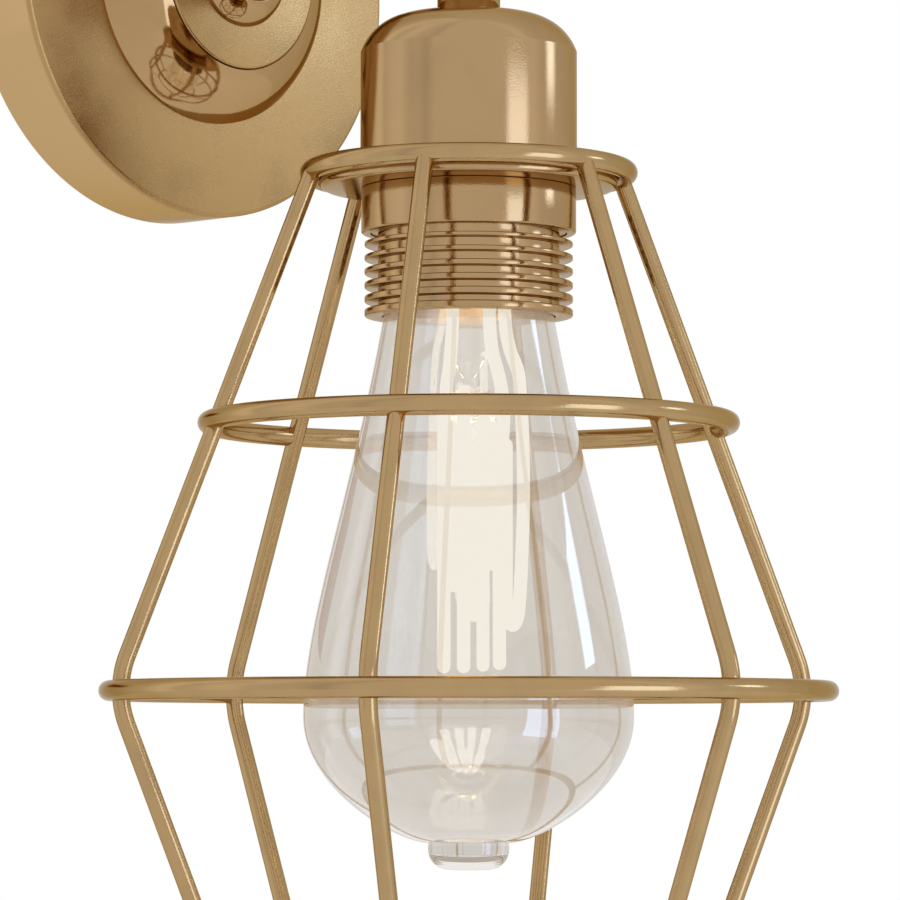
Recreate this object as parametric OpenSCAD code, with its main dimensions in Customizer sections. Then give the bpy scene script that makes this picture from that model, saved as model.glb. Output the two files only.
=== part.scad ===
// Cage wall light: a round wall plate with a stepped hub, a bent arm, a lamp cup with a ribbed
// holder skirt, and a six-wire cage round a clear pear-shaped bulb.
// Frame: the origin is the centre of the wall plate's back face. The wall is the plane Y = 0,
// the lamp stands out towards -Y, and +Z is up. All sizes are in millimetres.

/* [Wall plate] */
// Diameter of the wall plate
plate_d = 100.8; // [92:0.2:130]
// Depth of the wall plate from the wall to its face
plate_depth = 16.9; // [14:0.1:24]
// Wall thickness of the pressed wall plate
plate_wall = 1.2; // [0.8:0.1:1.6]
// Rounding of the wall plate's front edge
plate_edge_r = 0.8; // [0.3:0.1:1.5]

/* [Wall bracket] */
// Height of the bracket strap
strap_h = 20; // [16:1:26]
// Thickness of the bracket strap
strap_t = 1.8; // [1.2:0.1:2.2]
// Height of the bracket's ears, which the side screws go through
ear_h = 14; // [11:1:16]
// Distance between the two wall screw slots
slot_spacing = 56; // [50:1:60]
// Length of each wall screw slot
slot_l = 12; // [8:1:14]
// Width of each wall screw slot
slot_w = 4.6; // [4:0.1:5.4]
// Diameter of the hole for the supply cable
cable_hole_d = 12; // [8:0.5:14]
// Diameter of the side screws that hold the wall plate
side_screw_d = 4; // [3:0.5:5]
// Diameter of the side screws' heads
side_head_d = 7; // [6:0.5:9]

/* [Terminal block] */
// Distance between the terminal block's poles
pole_pitch = 9; // [8:0.5:10]
// Depth of the terminal block, measured out from the wall
block_t = 8; // [7:0.25:8.5]
// Length of the terminal block's wire ways
block_l = 15; // [13:0.5:17]
// Bore of a terminal for the supply wires
terminal_bore_d = 3; // [2.4:0.1:3.4]

/* [Hub] */
// Diameter of the hub dome at the wall plate
hub_d = 61.7; // [56:0.1:70]
// Height of the hub dome's upright side
hub_side_h = 3; // [2:0.1:4]
// Rounding between the upright side and the dome
hub_edge_r = 0.9; // [0.4:0.1:1.2]
// Radius of the dome's arc
hub_arc_r = 17; // [13:0.5:40]
// Diameter of the satin disc on the dome
disc_d = 40.6; // [34:0.1:44]
// Height of the satin disc's face over the wall plate
disc_h = 10; // [8:0.1:13]
// Thickness of the satin disc
disc_t = 3; // [2:0.1:4]
// Diameter of the boss round the arm
boss_d = 23.2; // [20:0.1:28]
// Height of the boss over the satin disc
boss_h = 4.6; // [3.5:0.1:7]
// Width of the boss's flat mouth round the arm
boss_mouth = 0.8; // [0.5:0.1:1.5]

/* [Arm] */
// Distance from the wall to the lamp's axis
reach = 92.5; // [84:0.5:160]
// Outside diameter of the arm tube
tube_d = 12.4; // [12:0.1:14]
// Wall of the arm tube
tube_wall = 1.2; // [1:0.1:1.4]
// Radius of the arm's bend at the tube's centreline
bend_r = 12; // [11:0.5:13]
// Straight length of the arm below the bend
tail_l = 5.1; // [3:0.1:12]

/* [Cup] */
// Outside diameter of the cup
cup_d = 42.6; // [42:0.1:44]
// Height of the cup from its rim to its top
cup_h = 32.7; // [32:0.1:42]
// Wall of the cup
cup_wall = 1.2; // [0.8:0.1:1.3]
// Radius of the arc of the cup's shoulder
cup_arc_r = 10.8; // [9.6:0.1:13]
// Slope of the shoulder where it leaves the cup's side, in degrees from level
cup_slope = 71; // [64:1:80]

/* [Lampholder] */
// Outside diameter of the plain upper part of the holder skirt
skirt_d = 38.4; // [37.6:0.1:38.8]
// Bore of the holder skirt
skirt_bore_d = 34; // [33.6:0.1:34.4]
// Length of the ribbed skirt below the retaining ring
skirt_drop = 16.4; // [16:0.1:24]
// Diameter over the skirt's ribs
rib_d = 40.9; // [39.6:0.1:41.2]
// Diameter in the grooves between the ribs
groove_d = 35.6; // [35.4:0.1:36.4]
// Thickness of the lowest rib
rib_t = 1.5; // [1.2:0.1:1.7]
// Thickness of the uppermost rib, with the others in even steps between
rib_top_t = 0.8; // [0.6:0.1:1.4]
// Number of ribs
rib_count = 6; // [2:1:6]
// Distance between ribs
rib_pitch = 2.78; // [2.5:0.02:2.9]
// Height of the holder body over the bulb's contact
body_over_tip = 7.1; // [6:0.1:8]
// Wall of the holder's screw shell
shell_wall = 0.45; // [0.3:0.05:0.6]

/* [Retaining ring] */
// Outside diameter of the retaining ring under the cage
ring_nut_d = 42.2; // [41:0.1:43]
// Height of the retaining ring
ring_nut_h = 8.85; // [7:0.05:12]
// Rounding of the retaining ring's lower edge
ring_nut_edge_r = 0.6; // [0.2:0.1:0.8]

/* [Cage] */
// Diameter of the top ring at the wire's centreline
top_ring_d = 62.4; // [58:0.1:68]
// Diameter of the widest ring at the wire's centreline
wide_ring_d = 140; // [120:0.1:160]
// Diameter of the bottom ring at the wire's centreline
bottom_ring_d = 100; // [84:0.5:120]
// Drop from the top ring to the middle ring
middle_drop = 49.3; // [40:0.1:60]
// Drop from the top ring to the widest ring
wide_drop = 101.55; // [90:0.1:120]
// Drop from the widest ring to the bottom ring
bottom_drop = 52.3; // [44:0.1:60]
// How far the middle ring's centreline stands outside the wires'
middle_out = 1; // [0.6:0.1:1.4]
// Thickness of the ring wire
ring_wire_d = 4; // [3.7:0.1:4.6]
// Thickness of the upright wires
wire_d = 3.44; // [3:0.02:3.6]
// Radius of the upright wires' bend at the widest ring
wire_bend_r = 18.5; // [12:0.5:22]
// Turn of the cage about the lamp's axis, as it was clamped
cage_turn = -1.1; // [-30:0.1:30]
// Thickness of the cage's pressed top plate
collar_t = 1.6; // [1.2:0.1:1.8]
// Height of the top ring's centreline over the underside of the top plate
top_ring_lift = 3.1; // [2.9:0.1:3.6]

/* [Bulb] */
// Overall length of the bulb
bulb_l = 140; // [134:0.5:144]
// Largest diameter of the bulb
bulb_d = 64.5; // [58:0.5:70]
// Height of the bulb's widest level over its bottom
belly_h = 29.7; // [27:0.1:34]
// Diameter of the glass where it leaves the cap
neck_d = 31.1; // [29:0.1:31.6]
// Flare of the glass at the cap, in degrees
neck_flare = 9; // [6:0.1:10]
// Diameter of the round pip at the bulb's bottom
pip_d = 15.8; // [12:0.1:18]
// Height of the pip
pip_h = 5.2; // [3:0.1:7]
// Thickness of the bulb's glass
glass_t = 0.8; // [0.6:0.1:1]
// Depth of the bulb's contact inside the mouth of the holder skirt
seat_depth = 32.15; // [31.6:0.05:32.8]

/* [Bulb cap] */
// Length of the bulb's cap with its contact
cap_l = 26.1; // [25.6:0.1:26.6]
// Diameter over the cap's thread
cap_d = 26.2; // [26:0.05:26.4]
// Depth of the cap's thread
cap_thread = 0.9; // [0.6:0.1:1.1]
// Pitch of the cap's thread
cap_pitch = 3.63; // [3.5:0.01:3.7]

/* [Filament] */
// Thickness of a filament strand
strand_d = 2.5; // [1.5:0.1:2.6]
// Number of filament strands
strand_count = 8; // [6:1:8]
// Diameter of the circle of strands
strand_circle_d = 12.6; // [11:0.1:16]
// Length of a strand
strand_l = 52; // [46:0.5:56]
// Height of the strands' lower ends over the bulb's bottom
strand_lift = 38.2; // [36:0.1:42]
// Thickness of the support wires
support_d = 0.7; // [0.5:0.1:1]

/* [Fasteners and leads] */
// Outside diameter of the threaded nipples
nipple_d = 9.9; // [9.7:0.05:9.9]
// Bore of the threaded nipples
nipple_bore_d = 7.2; // [6.6:0.1:7.6]
// Width of the lock nuts across their flats
nut_w = 14; // [13:0.5:16]
// Thickness of the lock nuts
nut_t = 3; // [2.5:0.1:3.2]
// Diameter of the small screws
small_screw_d = 3; // [2.5:0.1:3]
// Diameter of one insulated lead
lead_d = 1.8; // [1.4:0.1:2]

/* [Clearances] */
// Radial gap round a piece that turns or slides
run_gap = 0.3; // [0.25:0.05:0.35]
// Radial gap between pieces fixed into each other
seat_gap = 0.05; // [0.03:0.01:0.06]

/* [Hidden] */

$fn = 96;
bend_swell = 0.03; // a bend stands this proud of the straight runs that end inside it
bend_overlap = 0.3; // how far a straight run reaches into its bend
gold = "#b89c6e";
bright_gold = "#d8bd8c";
steel = "#b9bcc0";
brass = "#c2a25a";
porcelain = "#eeeae2";
cut = 1; // how far a cut runs past the face that it opens

// Wall plate, bracket and terminal block
plate_r = plate_d / 2;
plate_in_r = plate_r - plate_wall;
ear_x = sqrt(pow(plate_in_r - run_gap, 2) - pow(ear_h / 2, 2)); // outer face of a bracket ear
ear_depth = plate_depth - plate_wall - 2;
strap_flat_x = sqrt(pow(plate_in_r - run_gap, 2) - pow(strap_h / 2, 2)) - 2;
side_screw_y = ear_depth - side_screw_d;
side_nut_t = 3;
side_head_h = 2.4;
block_poles = 3;
block_w = block_poles * pole_pitch + 2;
block_z = -strap_h / 2 - block_l / 2 - 4;
terminal_y = strap_t + block_t / 2;
shelf_t = 1.2; // strap tab that carries the terminal block
nipple_in_arm = 10; // how far the wall nipple reaches past the satin disc into the arm
nipple_inner = plate_depth - plate_wall - 1.2 - nut_t - 1; // its inner end, out from the wall
bush_lip_t = 0.8;
bush_inner = nipple_inner - bush_lip_t; // inner face of the bush's lip, out from the wall
clamp_d = 3;
earth_x = slot_spacing / 4;

// Hub
hub_r = hub_d / 2;
disc_r = disc_d / 2;
boss_r = boss_d / 2;
tube_r = tube_d / 2;
tube_bore_r = tube_r - tube_wall;
disc_y = plate_depth + disc_h; // face of the satin disc, out from the wall
boss_top_r = tube_r + seat_gap + boss_mouth;

// Stack below the arm, as heights
cup_top = -bend_r - tail_l;
cup_rim = cup_top - cup_h;
collar_bottom = cup_rim - collar_t;
ring_nut_bottom = collar_bottom - ring_nut_h;
skirt_bottom = ring_nut_bottom - skirt_drop;
cup_r = cup_d / 2;

// Bulb heights
tip_z = skirt_bottom + seat_depth;
cap_bottom = tip_z - cap_l;
bulb_bottom = tip_z - bulb_l;
belly_z = bulb_bottom + belly_h;
pip_top = bulb_bottom + pip_h;
cap_top = tip_z - 3.8; // upper end of the cap's metal shell
strand_low = bulb_bottom + strand_lift;
strand_top = strand_low + strand_l;
stem_room = cap_bottom - strand_top; // the stem's neck and foot share the room over the strands
belly_handle_up = 19.4; // Bezier handles of the glass outline
neck_handle = 39.9;
belly_handle_down = 14.1;
base_handle = 6;
base_slope = 0;

// Lampholder heights and radii
body_top = tip_z + body_over_tip;
body_bottom = cap_bottom + 3;
pocket_top = tip_z + 2.7;
shell_top = tip_z - 0.8;
shell_in_r = cap_d / 2 + run_gap;
shell_out_r = shell_in_r + cap_thread + shell_wall;
body_r = skirt_bore_d / 2 - run_gap;
lip_t = 1.6;
lip_bore_r = 12.6;
yoke_t = 1.5;
yoke_w = 14;
yoke_screw_x = 14.4;
yoke_leg_x = 10.2;
cup_arc_x = cup_r - cup_arc_r * sin(cup_slope); // centre of the shoulder's arc
cup_arc_in_r = cup_arc_r - cup_wall;
nut_corner_r = nut_w / 2 / cos(30);
nut_over = max(0, nut_corner_r - cup_arc_x); // reach of the nut's corners under the shoulder's arc
nut_drop = cup_arc_in_r - sqrt(pow(cup_arc_in_r, 2) - pow(nut_over, 2)) + seat_gap;
yoke_top = cup_top - cup_wall - nut_drop - nut_t; // the upper nut's corners meet the shoulder
yoke_foot = body_top + lip_t;
tag_t = 0.6;
tag_top = yoke_top - yoke_t;
tag_low = tag_top - tag_t - 2.6; // lower end of the tag's barrel
tag_reach = 10.2; // from the nipple's centre to the tag's barrel
tag_way = [sin(35), cos(35)];
nipple_low = tag_top - tag_t - nut_t;
live_rivet_y = 5.2;
neutral_rivet_y = 9.5;
rivet_r = 1.2;
screw_terminal = [6, 7, 5];
screw_terminal_y = 7.5;
body_screw_l = 5; // length of a holder screw in the porcelain
pocket_r = 7; // radius of the contact's pocket

// Cage heights and radii
top_ring_z = collar_bottom + top_ring_lift;
middle_ring_z = top_ring_z - middle_drop;
wide_ring_z = top_ring_z - wide_drop;
bottom_ring_z = wide_ring_z - bottom_drop;
top_ring_r = top_ring_d / 2;
wide_ring_r = wide_ring_d / 2;
bottom_ring_r = bottom_ring_d / 2;
middle_ring_r = top_ring_r + (wide_ring_r - top_ring_r) * middle_drop / wide_drop + middle_out;
ring_wire_r = ring_wire_d / 2;
wire_r = wire_d / 2;
wire_count = 6;

// Points of an upright wire, as [radius, height]
wire_top = [top_ring_r, top_ring_z];
wire_knee = [wide_ring_r, wide_ring_z];
wire_end = [bottom_ring_r, bottom_ring_z];

// Leads: the nipples' centre and the places of the three leads in them
lead_r = lead_d / 2;
lead_circle_r = 1.8;
lead_poles = [1, 0, 2]; // pole of the terminal block for each lead, so that none crosses another
lead_sides = 8;
bend_steps = 8;

function unit(v) = v / norm(v);
function bezier(a, b, c, d, n) = [
    for (i = [0:n]) let (t = i / n, s = 1 - t)
        s * s * s * a + 3 * s * s * t * b + 3 * s * t * t * c + t * t * t * d
];

// Points of an outline moved t to the left of its way, which runs downwards
function inset(points, t) = [
    for (i = [0:len(points) - 1])
        let (d = unit(points[min(i + 1, len(points) - 1)] - points[max(i - 1, 0)]))
        points[i] + t * [d.y, -d.x]
];

// Centre of the circle of radius r through a and b, on the left of the way from a to b
function arc_centre(a, b, r) =
    let (m = (a + b) / 2, d = b - a, h = sqrt(r * r - d * d / 4))
    m + h * unit([-d.y, d.x]);

// Heights become distances out from the wall
module from_wall() {
    rotate([90, 0, 0]) children();
}

module at_lamp() {
    translate([0, -reach, 0]) children();
}

module disk(r, h, z = 0) {
    translate([0, 0, z]) cylinder(r = r, h = h);
}

module tube(r_out, r_in, h, z = 0) {
    difference() {
        disk(r_out, h, z);
        disk(r_in, h + 2 * cut, z - cut);
    }
}

// Half section of a turned block from z = 0 to h, with its top edge rounded
module rounded_section(r, h, edge) {
    square([r - edge, h]);
    square([r, h - edge]);
    translate([r - edge, h - edge]) circle(r = edge);
}

module torus(r, wire) {
    rotate_extrude() translate([r, 0]) circle(r = wire);
}

module hex(w, h, z = 0) {
    translate([0, 0, z]) cylinder(d = w / cos(30), h = h, $fn = 6);
}

module nut(w, h, bore_r, z = 0) {
    difference() {
        hex(w, h, z);
        disk(bore_r, h + 2 * cut, z - cut);
    }
}

// Rod from point a to point b, both given as [radius, height]
module rod(a, b, r) {
    translate([a.x, 0, a.y])
        rotate([0, atan2(b.x - a.x, b.y - a.y), 0])
            cylinder(r = r, h = norm(b - a));
}

// Tube swept along points in space, as one closed polyhedron
module sweep(points, r, sides) {
    n = len(points);
    rings = [
        for (i = [0:n - 1])
            let (
                before = points[max(i - 1, 0)],
                after = points[min(i + 1, n - 1)],
                t = unit(after - before),
                u = unit(cross(t, [0.9, 0.1, 0.2])),
                v = cross(t, u)
            )
            for (k = [0:sides - 1])
                points[i] + r * (cos(360 * k / sides) * u + sin(360 * k / sides) * v)
    ];
    faces = concat(
        [[for (k = [0:sides - 1]) k]],
        [for (i = [0:n - 2]) for (k = [0:sides - 1])
            let (a = i * sides + k, b = i * sides + (k + 1) % sides)
            each [[a, a + sides, b], [b, a + sides, b + sides]]],
        [[for (k = [sides - 1:-1:0]) (n - 1) * sides + k]]
    );
    polyhedron(rings, faces);
}

// Screw along +Z with its head's underside at z = 0
module slotted_screw(d, l, head_d, head_h) {
    difference() {
        union() {
            disk(d / 2, l + head_h / 2, -l);
            rotate_extrude() rounded_section(head_d / 2, head_h, head_h / 3);
        }
        translate([-head_d / 2 - cut, -0.4, head_h - 0.8]) cube([head_d + 2 * cut, 0.8, 2]);
    }
}

// ---- Wall bracket and wiring ----

module wall_bracket() {
    color(steel) difference() {
        union() {
            translate([-ear_x, -strap_t, -ear_h / 2]) cube([2 * ear_x, strap_t, ear_h]);
            translate([-strap_flat_x, -strap_t, -strap_h / 2])
                cube([2 * strap_flat_x, strap_t, strap_h]);
            for (side = [-1, 1])
                translate([side * (ear_x - strap_t / 2) - strap_t / 2, -ear_depth, -ear_h / 2])
                    cube([strap_t, ear_depth, ear_h]);
            translate([-block_w / 2, -strap_t, block_z - block_l / 2 - shelf_t])
                cube([block_w, strap_t, -strap_h / 2 - block_z + block_l / 2 + shelf_t]);
        }
        for (side = [-1, 1]) {
            translate([side * slot_spacing / 2, 0, 0]) from_wall() wall_slot();
            translate([side * ear_x, -side_screw_y, 0]) rotate([0, side * 90, 0])
                disk(side_screw_d / 2 + seat_gap, 2 * strap_t + cut, -2 * strap_t);
        }
        from_wall() disk(cable_hole_d / 2, strap_t + 2 * cut, -cut);
        translate([earth_x, 0, 0]) from_wall()
            disk(small_screw_d / 2 + seat_gap, strap_t + 2 * cut, -cut);
    }
}

module wall_slot() {
    flat = slot_l - slot_w;
    for (side = [-1, 1])
        translate([side * flat / 2, 0, 0]) disk(slot_w / 2, strap_t + 2 * cut, -cut);
    translate([-flat / 2, -slot_w / 2, -cut]) cube([flat, slot_w, strap_t + 2 * cut]);
}

// Nuts pressed onto the inside of the bracket's ears
module bracket_nuts() {
    color(steel) for (side = [-1, 1])
        translate([side * (ear_x - strap_t), -side_screw_y, 0])
            rotate([0, -side * 90, 0])
                nut(2 * side_screw_d - 1, side_nut_t, side_screw_d / 2 + seat_gap);
}

module side_screws() {
    color(gold) for (side = [-1, 1])
        translate([side * plate_r, -side_screw_y, 0]) rotate([0, side * 90, 0])
            slotted_screw(side_screw_d, plate_r - ear_x + strap_t + side_nut_t, side_head_d,
                side_head_h);
}

module earth_screw() {
    color(brass) translate([earth_x, -strap_t, 0]) from_wall() {
        tube(small_screw_d + 0.5, small_screw_d / 2 + seat_gap, 0.6);
        translate([0, 0, 0.6]) slotted_screw(small_screw_d, strap_t + 0.4, 2 * small_screw_d, 2);
    }
}

module each_pole() {
    for (i = [0:block_poles - 1])
        translate([(i - (block_poles - 1) / 2) * pole_pitch, 0, 0]) children();
}

module terminal_block() {
    barrel_r = block_t / 2 - 0.4;
    color(porcelain) difference() {
        union() {
            translate([-block_w / 2, -strap_t - block_t / 2, block_z - block_l / 2 + 1.5])
                cube([block_w, block_t / 2, block_l - 3]);
            each_pole() translate([0, -terminal_y, block_z - block_l / 2])
                disk(barrel_r, block_l);
        }
        each_pole() {
            translate([0, -terminal_y, block_z - block_l / 2 - cut])
                disk(terminal_bore_d / 2, block_l + 2 * cut);
            for (side = [-1, 1])
                translate([0, -terminal_y, block_z + side * block_l / 4]) from_wall()
                    disk(clamp_d / 2, block_t);
        }
    }
}

// Clamp screws of the terminal block, two to a pole
module terminal_clamps() {
    color(brass) each_pole() for (side = [-1, 1])
        translate([0, -terminal_y, block_z + side * block_l / 4]) from_wall()
            disk(clamp_d / 2 - seat_gap, block_t / 2 - terminal_bore_d / 2 - 1.2,
                terminal_bore_d / 2 + 0.4);
}

module wall_plate() {
    color(gold) from_wall() difference() {
        rotate_extrude($fn = 144) rounded_section(plate_r, plate_depth, plate_edge_r);
        disk(plate_r - plate_wall, plate_depth - plate_wall + cut, -cut);
        disk(nipple_d / 2 + seat_gap, 2 * plate_depth);
        for (side = [-1, 1])
            translate([0, 0, side_screw_y]) rotate([0, side * 90, 0])
                disk(side_screw_d / 2 + 0.1, plate_r + cut);
    }
}

// ---- Hub and arm ----

module hub_dome() {
    low = [hub_r - hub_edge_r * 0.6, hub_side_h];
    high = [disc_r + 0.3, disc_h - 0.5];
    centre = arc_centre(low, high, hub_arc_r);
    color(bright_gold) translate([0, -plate_depth, 0]) from_wall() difference() {
        rotate_extrude($fn = 144) {
            rounded_section(hub_r, hub_side_h, hub_edge_r);
            square([high.x, high.y]);
            intersection() {
                translate(centre) circle(r = hub_arc_r);
                translate([high.x - 1, 0]) square([hub_r - high.x, high.y]);
            }
        }
        disk(nipple_d / 2 + seat_gap, disc_h + cut, -cut);
        disk(disc_r + seat_gap, disc_h, disc_h - disc_t);
    }
}

module hub_disc() {
    color(gold) translate([0, -plate_depth - disc_h + disc_t, 0]) from_wall() difference() {
        rotate_extrude($fn = 144) rounded_section(disc_r, disc_t, 0.4);
        disk(nipple_d / 2 + seat_gap, disc_t + 2 * cut, -cut);
    }
}

module hub_boss() {
    low = [boss_r, 0.4];
    high = [boss_top_r, boss_h];
    arc_r = norm(high - low) * 1.25;
    centre = arc_centre(low, high, arc_r);
    color(bright_gold) translate([0, -disc_y, 0]) from_wall() difference() {
        rotate_extrude() {
            square([boss_r, low.y]);
            square([high.x, high.y]);
            intersection() {
                translate(centre) circle(r = arc_r);
                translate([high.x - 0.5, 0]) square([boss_r, high.y]);
            }
        }
        disk(tube_r + seat_gap, boss_h + 2 * cut, -cut);
        translate([0, 0, boss_h - boss_mouth])
            cylinder(r1 = tube_r + seat_gap, r2 = boss_top_r, h = boss_mouth + 0.01);
    }
}

// The arm's whole run at radius r: out of the hub, round the bend and down to the cup
module arm_run(r, extra = 0) {
    translate([0, -disc_y + extra, 0]) from_wall()
        disk(r, reach - bend_r - disc_y + extra + bend_overlap);
    translate([0, -reach + bend_r, -bend_r]) rotate([90, 0, -90])
        rotate_extrude(angle = 90) translate([bend_r, 0]) circle(r = r + bend_swell);
    at_lamp() disk(r, tail_l + extra + bend_overlap, cup_top - extra);
}

module arm_tube() {
    color(gold) difference() {
        arm_run(tube_r);
        arm_run(tube_bore_r, cut);
    }
}

module wall_nipple() {
    color(brass) translate([0, -nipple_inner, 0]) from_wall()
        tube(nipple_d / 2, nipple_bore_d / 2, disc_y + nipple_in_arm - nipple_inner);
}

module wall_washer() {
    color(steel) from_wall()
        tube(nut_w / 2 + 1.5, nipple_d / 2 + seat_gap, 1.2, plate_depth - plate_wall - 1.2);
}

module wall_nut() {
    color(steel) from_wall()
        nut(nut_w, nut_t, nipple_d / 2 + seat_gap, plate_depth - plate_wall - 1.2 - nut_t);
}

// Plastic bush that keeps the leads off the nipple's edge
module wire_bush() {
    bore = nipple_bore_d / 2 - 0.5;
    color("white") from_wall() {
        tube(nipple_d / 2 + 0.4, bore, bush_lip_t, bush_inner);
        tube(nipple_bore_d / 2 - seat_gap, bore, 4, bush_inner);
    }
}

// ---- Cup and lampholder ----

// Half section under the cup's shoulder, inset by t and open to drop below the rim
module cup_section(t, drop = 0) {
    side = cup_r - t;
    arc_r = cup_arc_r - t;
    centre = [cup_arc_x, cup_top - cup_arc_r];
    level = centre.y + sqrt(arc_r * arc_r - (side - centre.x) * (side - centre.x));
    lap = 0.5; // the arc's piece reaches this far below its corner with the side
    translate([0, cup_rim - drop]) square([side, level - cup_rim + drop - lap / 2]);
    intersection() {
        translate(centre) circle(r = arc_r, $fn = 144);
        translate([0, level - lap]) square([side, cup_h]);
    }
    translate([0, level - lap]) square([centre.x, cup_top - t - level + lap - bend_swell]);
}

module cup() {
    color(gold) at_lamp() difference() {
        rotate_extrude($fn = 144) difference() {
            cup_section(0);
            cup_section(cup_wall, cut);
        }
        disk(nipple_d / 2 + seat_gap, cup_h, cup_top - cup_h / 2);
    }
}

module cup_nipple() {
    color(brass) at_lamp()
        tube(nipple_d / 2, nipple_bore_d / 2, -bend_r - 0.2 - nipple_low, nipple_low);
}

module cup_nuts() {
    color(steel) at_lamp() for (z = [nipple_low, yoke_top])
        nut(nut_w, nut_t, nipple_d / 2 + seat_gap, z);
}

// Strap that hangs the holder body from the nipple
module holder_yoke() {
    leg = yoke_top - yoke_foot;
    color(steel) at_lamp() difference() {
        union() {
            translate([-yoke_leg_x - yoke_t, -yoke_w / 2, yoke_top - yoke_t])
                cube([2 * (yoke_leg_x + yoke_t), yoke_w, yoke_t]);
            for (side = [-1, 1]) {
                translate([side * (yoke_leg_x + yoke_t / 2) - yoke_t / 2, -yoke_w / 2, yoke_foot])
                    cube([yoke_t, yoke_w, leg]);
                translate([side * (yoke_leg_x + 3.6) - 3.6, -yoke_w / 2, yoke_foot])
                    cube([7.2, yoke_w, yoke_t]);
            }
        }
        disk(nipple_d / 2 + seat_gap, yoke_t + 2 * cut, yoke_top - yoke_t - cut);
        for (side = [-1, 1])
            translate([side * yoke_screw_x, 0, yoke_foot - cut])
                disk(small_screw_d / 2 + seat_gap, yoke_t + 2 * cut);
    }
}

// Ring tag under the yoke, with a barrel that holds the earth lead
module earth_tag() {
    barrel_r = lead_r + 0.5;
    color(brass) at_lamp() rotate([0, 0, atan2(tag_way.y, tag_way.x)]) difference() {
        union() {
            disk(nipple_d / 2 + 2, tag_t, tag_top - tag_t);
            translate([nipple_d / 2 + 1, -barrel_r, tag_top - tag_t])
                cube([tag_reach - nipple_d / 2 - 1, 2 * barrel_r, tag_t]);
            translate([tag_reach, 0, 0]) disk(barrel_r, tag_top - tag_low, tag_low);
        }
        disk(nipple_d / 2 + seat_gap, tag_t + 2 * cut, tag_top - tag_t - cut);
        translate([tag_reach, 0, 0]) disk(lead_r + 0.05, tag_top - tag_low - tag_t, tag_low - cut);
    }
}

module holder_screws() {
    color(steel) at_lamp() for (side = [-1, 1])
        translate([side * yoke_screw_x, 0, yoke_foot + yoke_t])
            slotted_screw(small_screw_d, yoke_t + lip_t + body_screw_l, 5, 1.8);
}

module holder_body() {
    color(porcelain) at_lamp() difference() {
        disk(body_r, body_top - body_bottom, body_bottom);
        disk(shell_out_r + seat_gap, shell_top - body_bottom + cut, body_bottom - cut);
        disk(pocket_r, pocket_top - tip_z + 2, tip_z - 2);
        for (side = [-1, 1])
            translate([side * yoke_screw_x, 0, body_top - body_screw_l - 0.2])
                disk(small_screw_d / 2 + seat_gap, body_screw_l + 0.2 + cut);
        translate([0, live_rivet_y, pocket_top - cut])
            disk(rivet_r + seat_gap, body_top - pocket_top + 2 * cut);
        translate([0, -neutral_rivet_y, shell_top - cut])
            disk(rivet_r + seat_gap, body_top - shell_top + 2 * cut);
    }
}

// Screw shell, with the thread as rounded rings and a lip under the holder body's ceiling
module holder_shell() {
    lip = 0.6;
    height = shell_top - body_bottom;
    rings = floor((height - 4) / cap_pitch);
    color(brass) at_lamp() {
        difference() {
            disk(shell_out_r, height, body_bottom);
            disk(shell_in_r + cap_thread, height - lip + cut, body_bottom - cut);
            disk(8.5, height + 2 * cut, body_bottom - cut);
        }
        for (i = [0:rings - 1]) translate([0, 0, body_bottom + 2 + i * cap_pitch])
            rotate_extrude() polygon([
                [shell_in_r + cap_thread + seat_gap, 0],
                [shell_in_r, 0.8],
                [shell_in_r, 1.4],
                [shell_in_r + cap_thread + seat_gap, 2.2]
            ]);
        translate([0, -neutral_rivet_y, shell_top - lip / 2])
            disk(rivet_r, body_top - shell_top + lip / 2);
    }
}

// Sprung centre contact in the holder body's pocket, on its rivet
module holder_contact() {
    leaf_w = 5;
    leaf_t = 0.5;
    color(brass) at_lamp() {
        translate([-leaf_w / 2, -1, pocket_top - leaf_t]) cube([leaf_w, live_rivet_y + 2, leaf_t]);
        translate([-leaf_w / 2, -1.5, tip_z]) cube([leaf_w, leaf_t, pocket_top - tip_z]);
        translate([-leaf_w / 2, -1.5, tip_z]) cube([leaf_w, 4, leaf_t]);
        translate([0, live_rivet_y, pocket_top - leaf_t / 2])
            disk(rivet_r, body_top - pocket_top + leaf_t / 2);
    }
}

// Live and neutral screw terminals on top of the holder body
module holder_terminals() {
    block = screw_terminal;
    color(brass) at_lamp() for (side = [-1, 1])
        translate([0, side * screw_terminal_y, body_top]) {
            difference() {
                translate([-block.x / 2, -block.y / 2, 0]) cube(block);
                translate([0, 0, block.z - 3]) disk(lead_r + 0.1, 3 + cut);
            }
            translate([-block.x / 2, 0, block.z / 2]) rotate([0, -90, 0])
                slotted_screw(1.8, 1.4, 3.2, 1);
        }
}

module holder_skirt() {
    plain_low = ring_nut_bottom + 0.2;
    color(gold) at_lamp() difference() {
        union() {
            disk(skirt_d / 2, body_top + lip_t - plain_low, plain_low);
            disk(groove_d / 2, plain_low - skirt_bottom, skirt_bottom);
            for (i = [0:rib_count - 1])
                rib(rib_t + (rib_top_t - rib_t) * i / (rib_count - 1), skirt_bottom + i * rib_pitch);
        }
        disk(skirt_bore_d / 2, body_top - skirt_bottom + cut, skirt_bottom - cut);
        disk(lip_bore_r, 2 * lip_t + 2 * cut, body_top - cut);
        for (side = [-1, 1])
            translate([side * yoke_screw_x, 0, body_top - cut])
                disk(small_screw_d / 2 + seat_gap, lip_t + 2 * cut);
    }
}

// One rib of the skirt with a rounded rim, its underside at height z
module rib(t, z) {
    e = t / 4;
    translate([0, 0, z]) rotate_extrude() {
        square([rib_d / 2 - e, t]);
        translate([0, e]) square([rib_d / 2, t - 2 * e]);
        for (h = [e, t - e]) translate([rib_d / 2 - e, h]) circle(r = e);
    }
}

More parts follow.
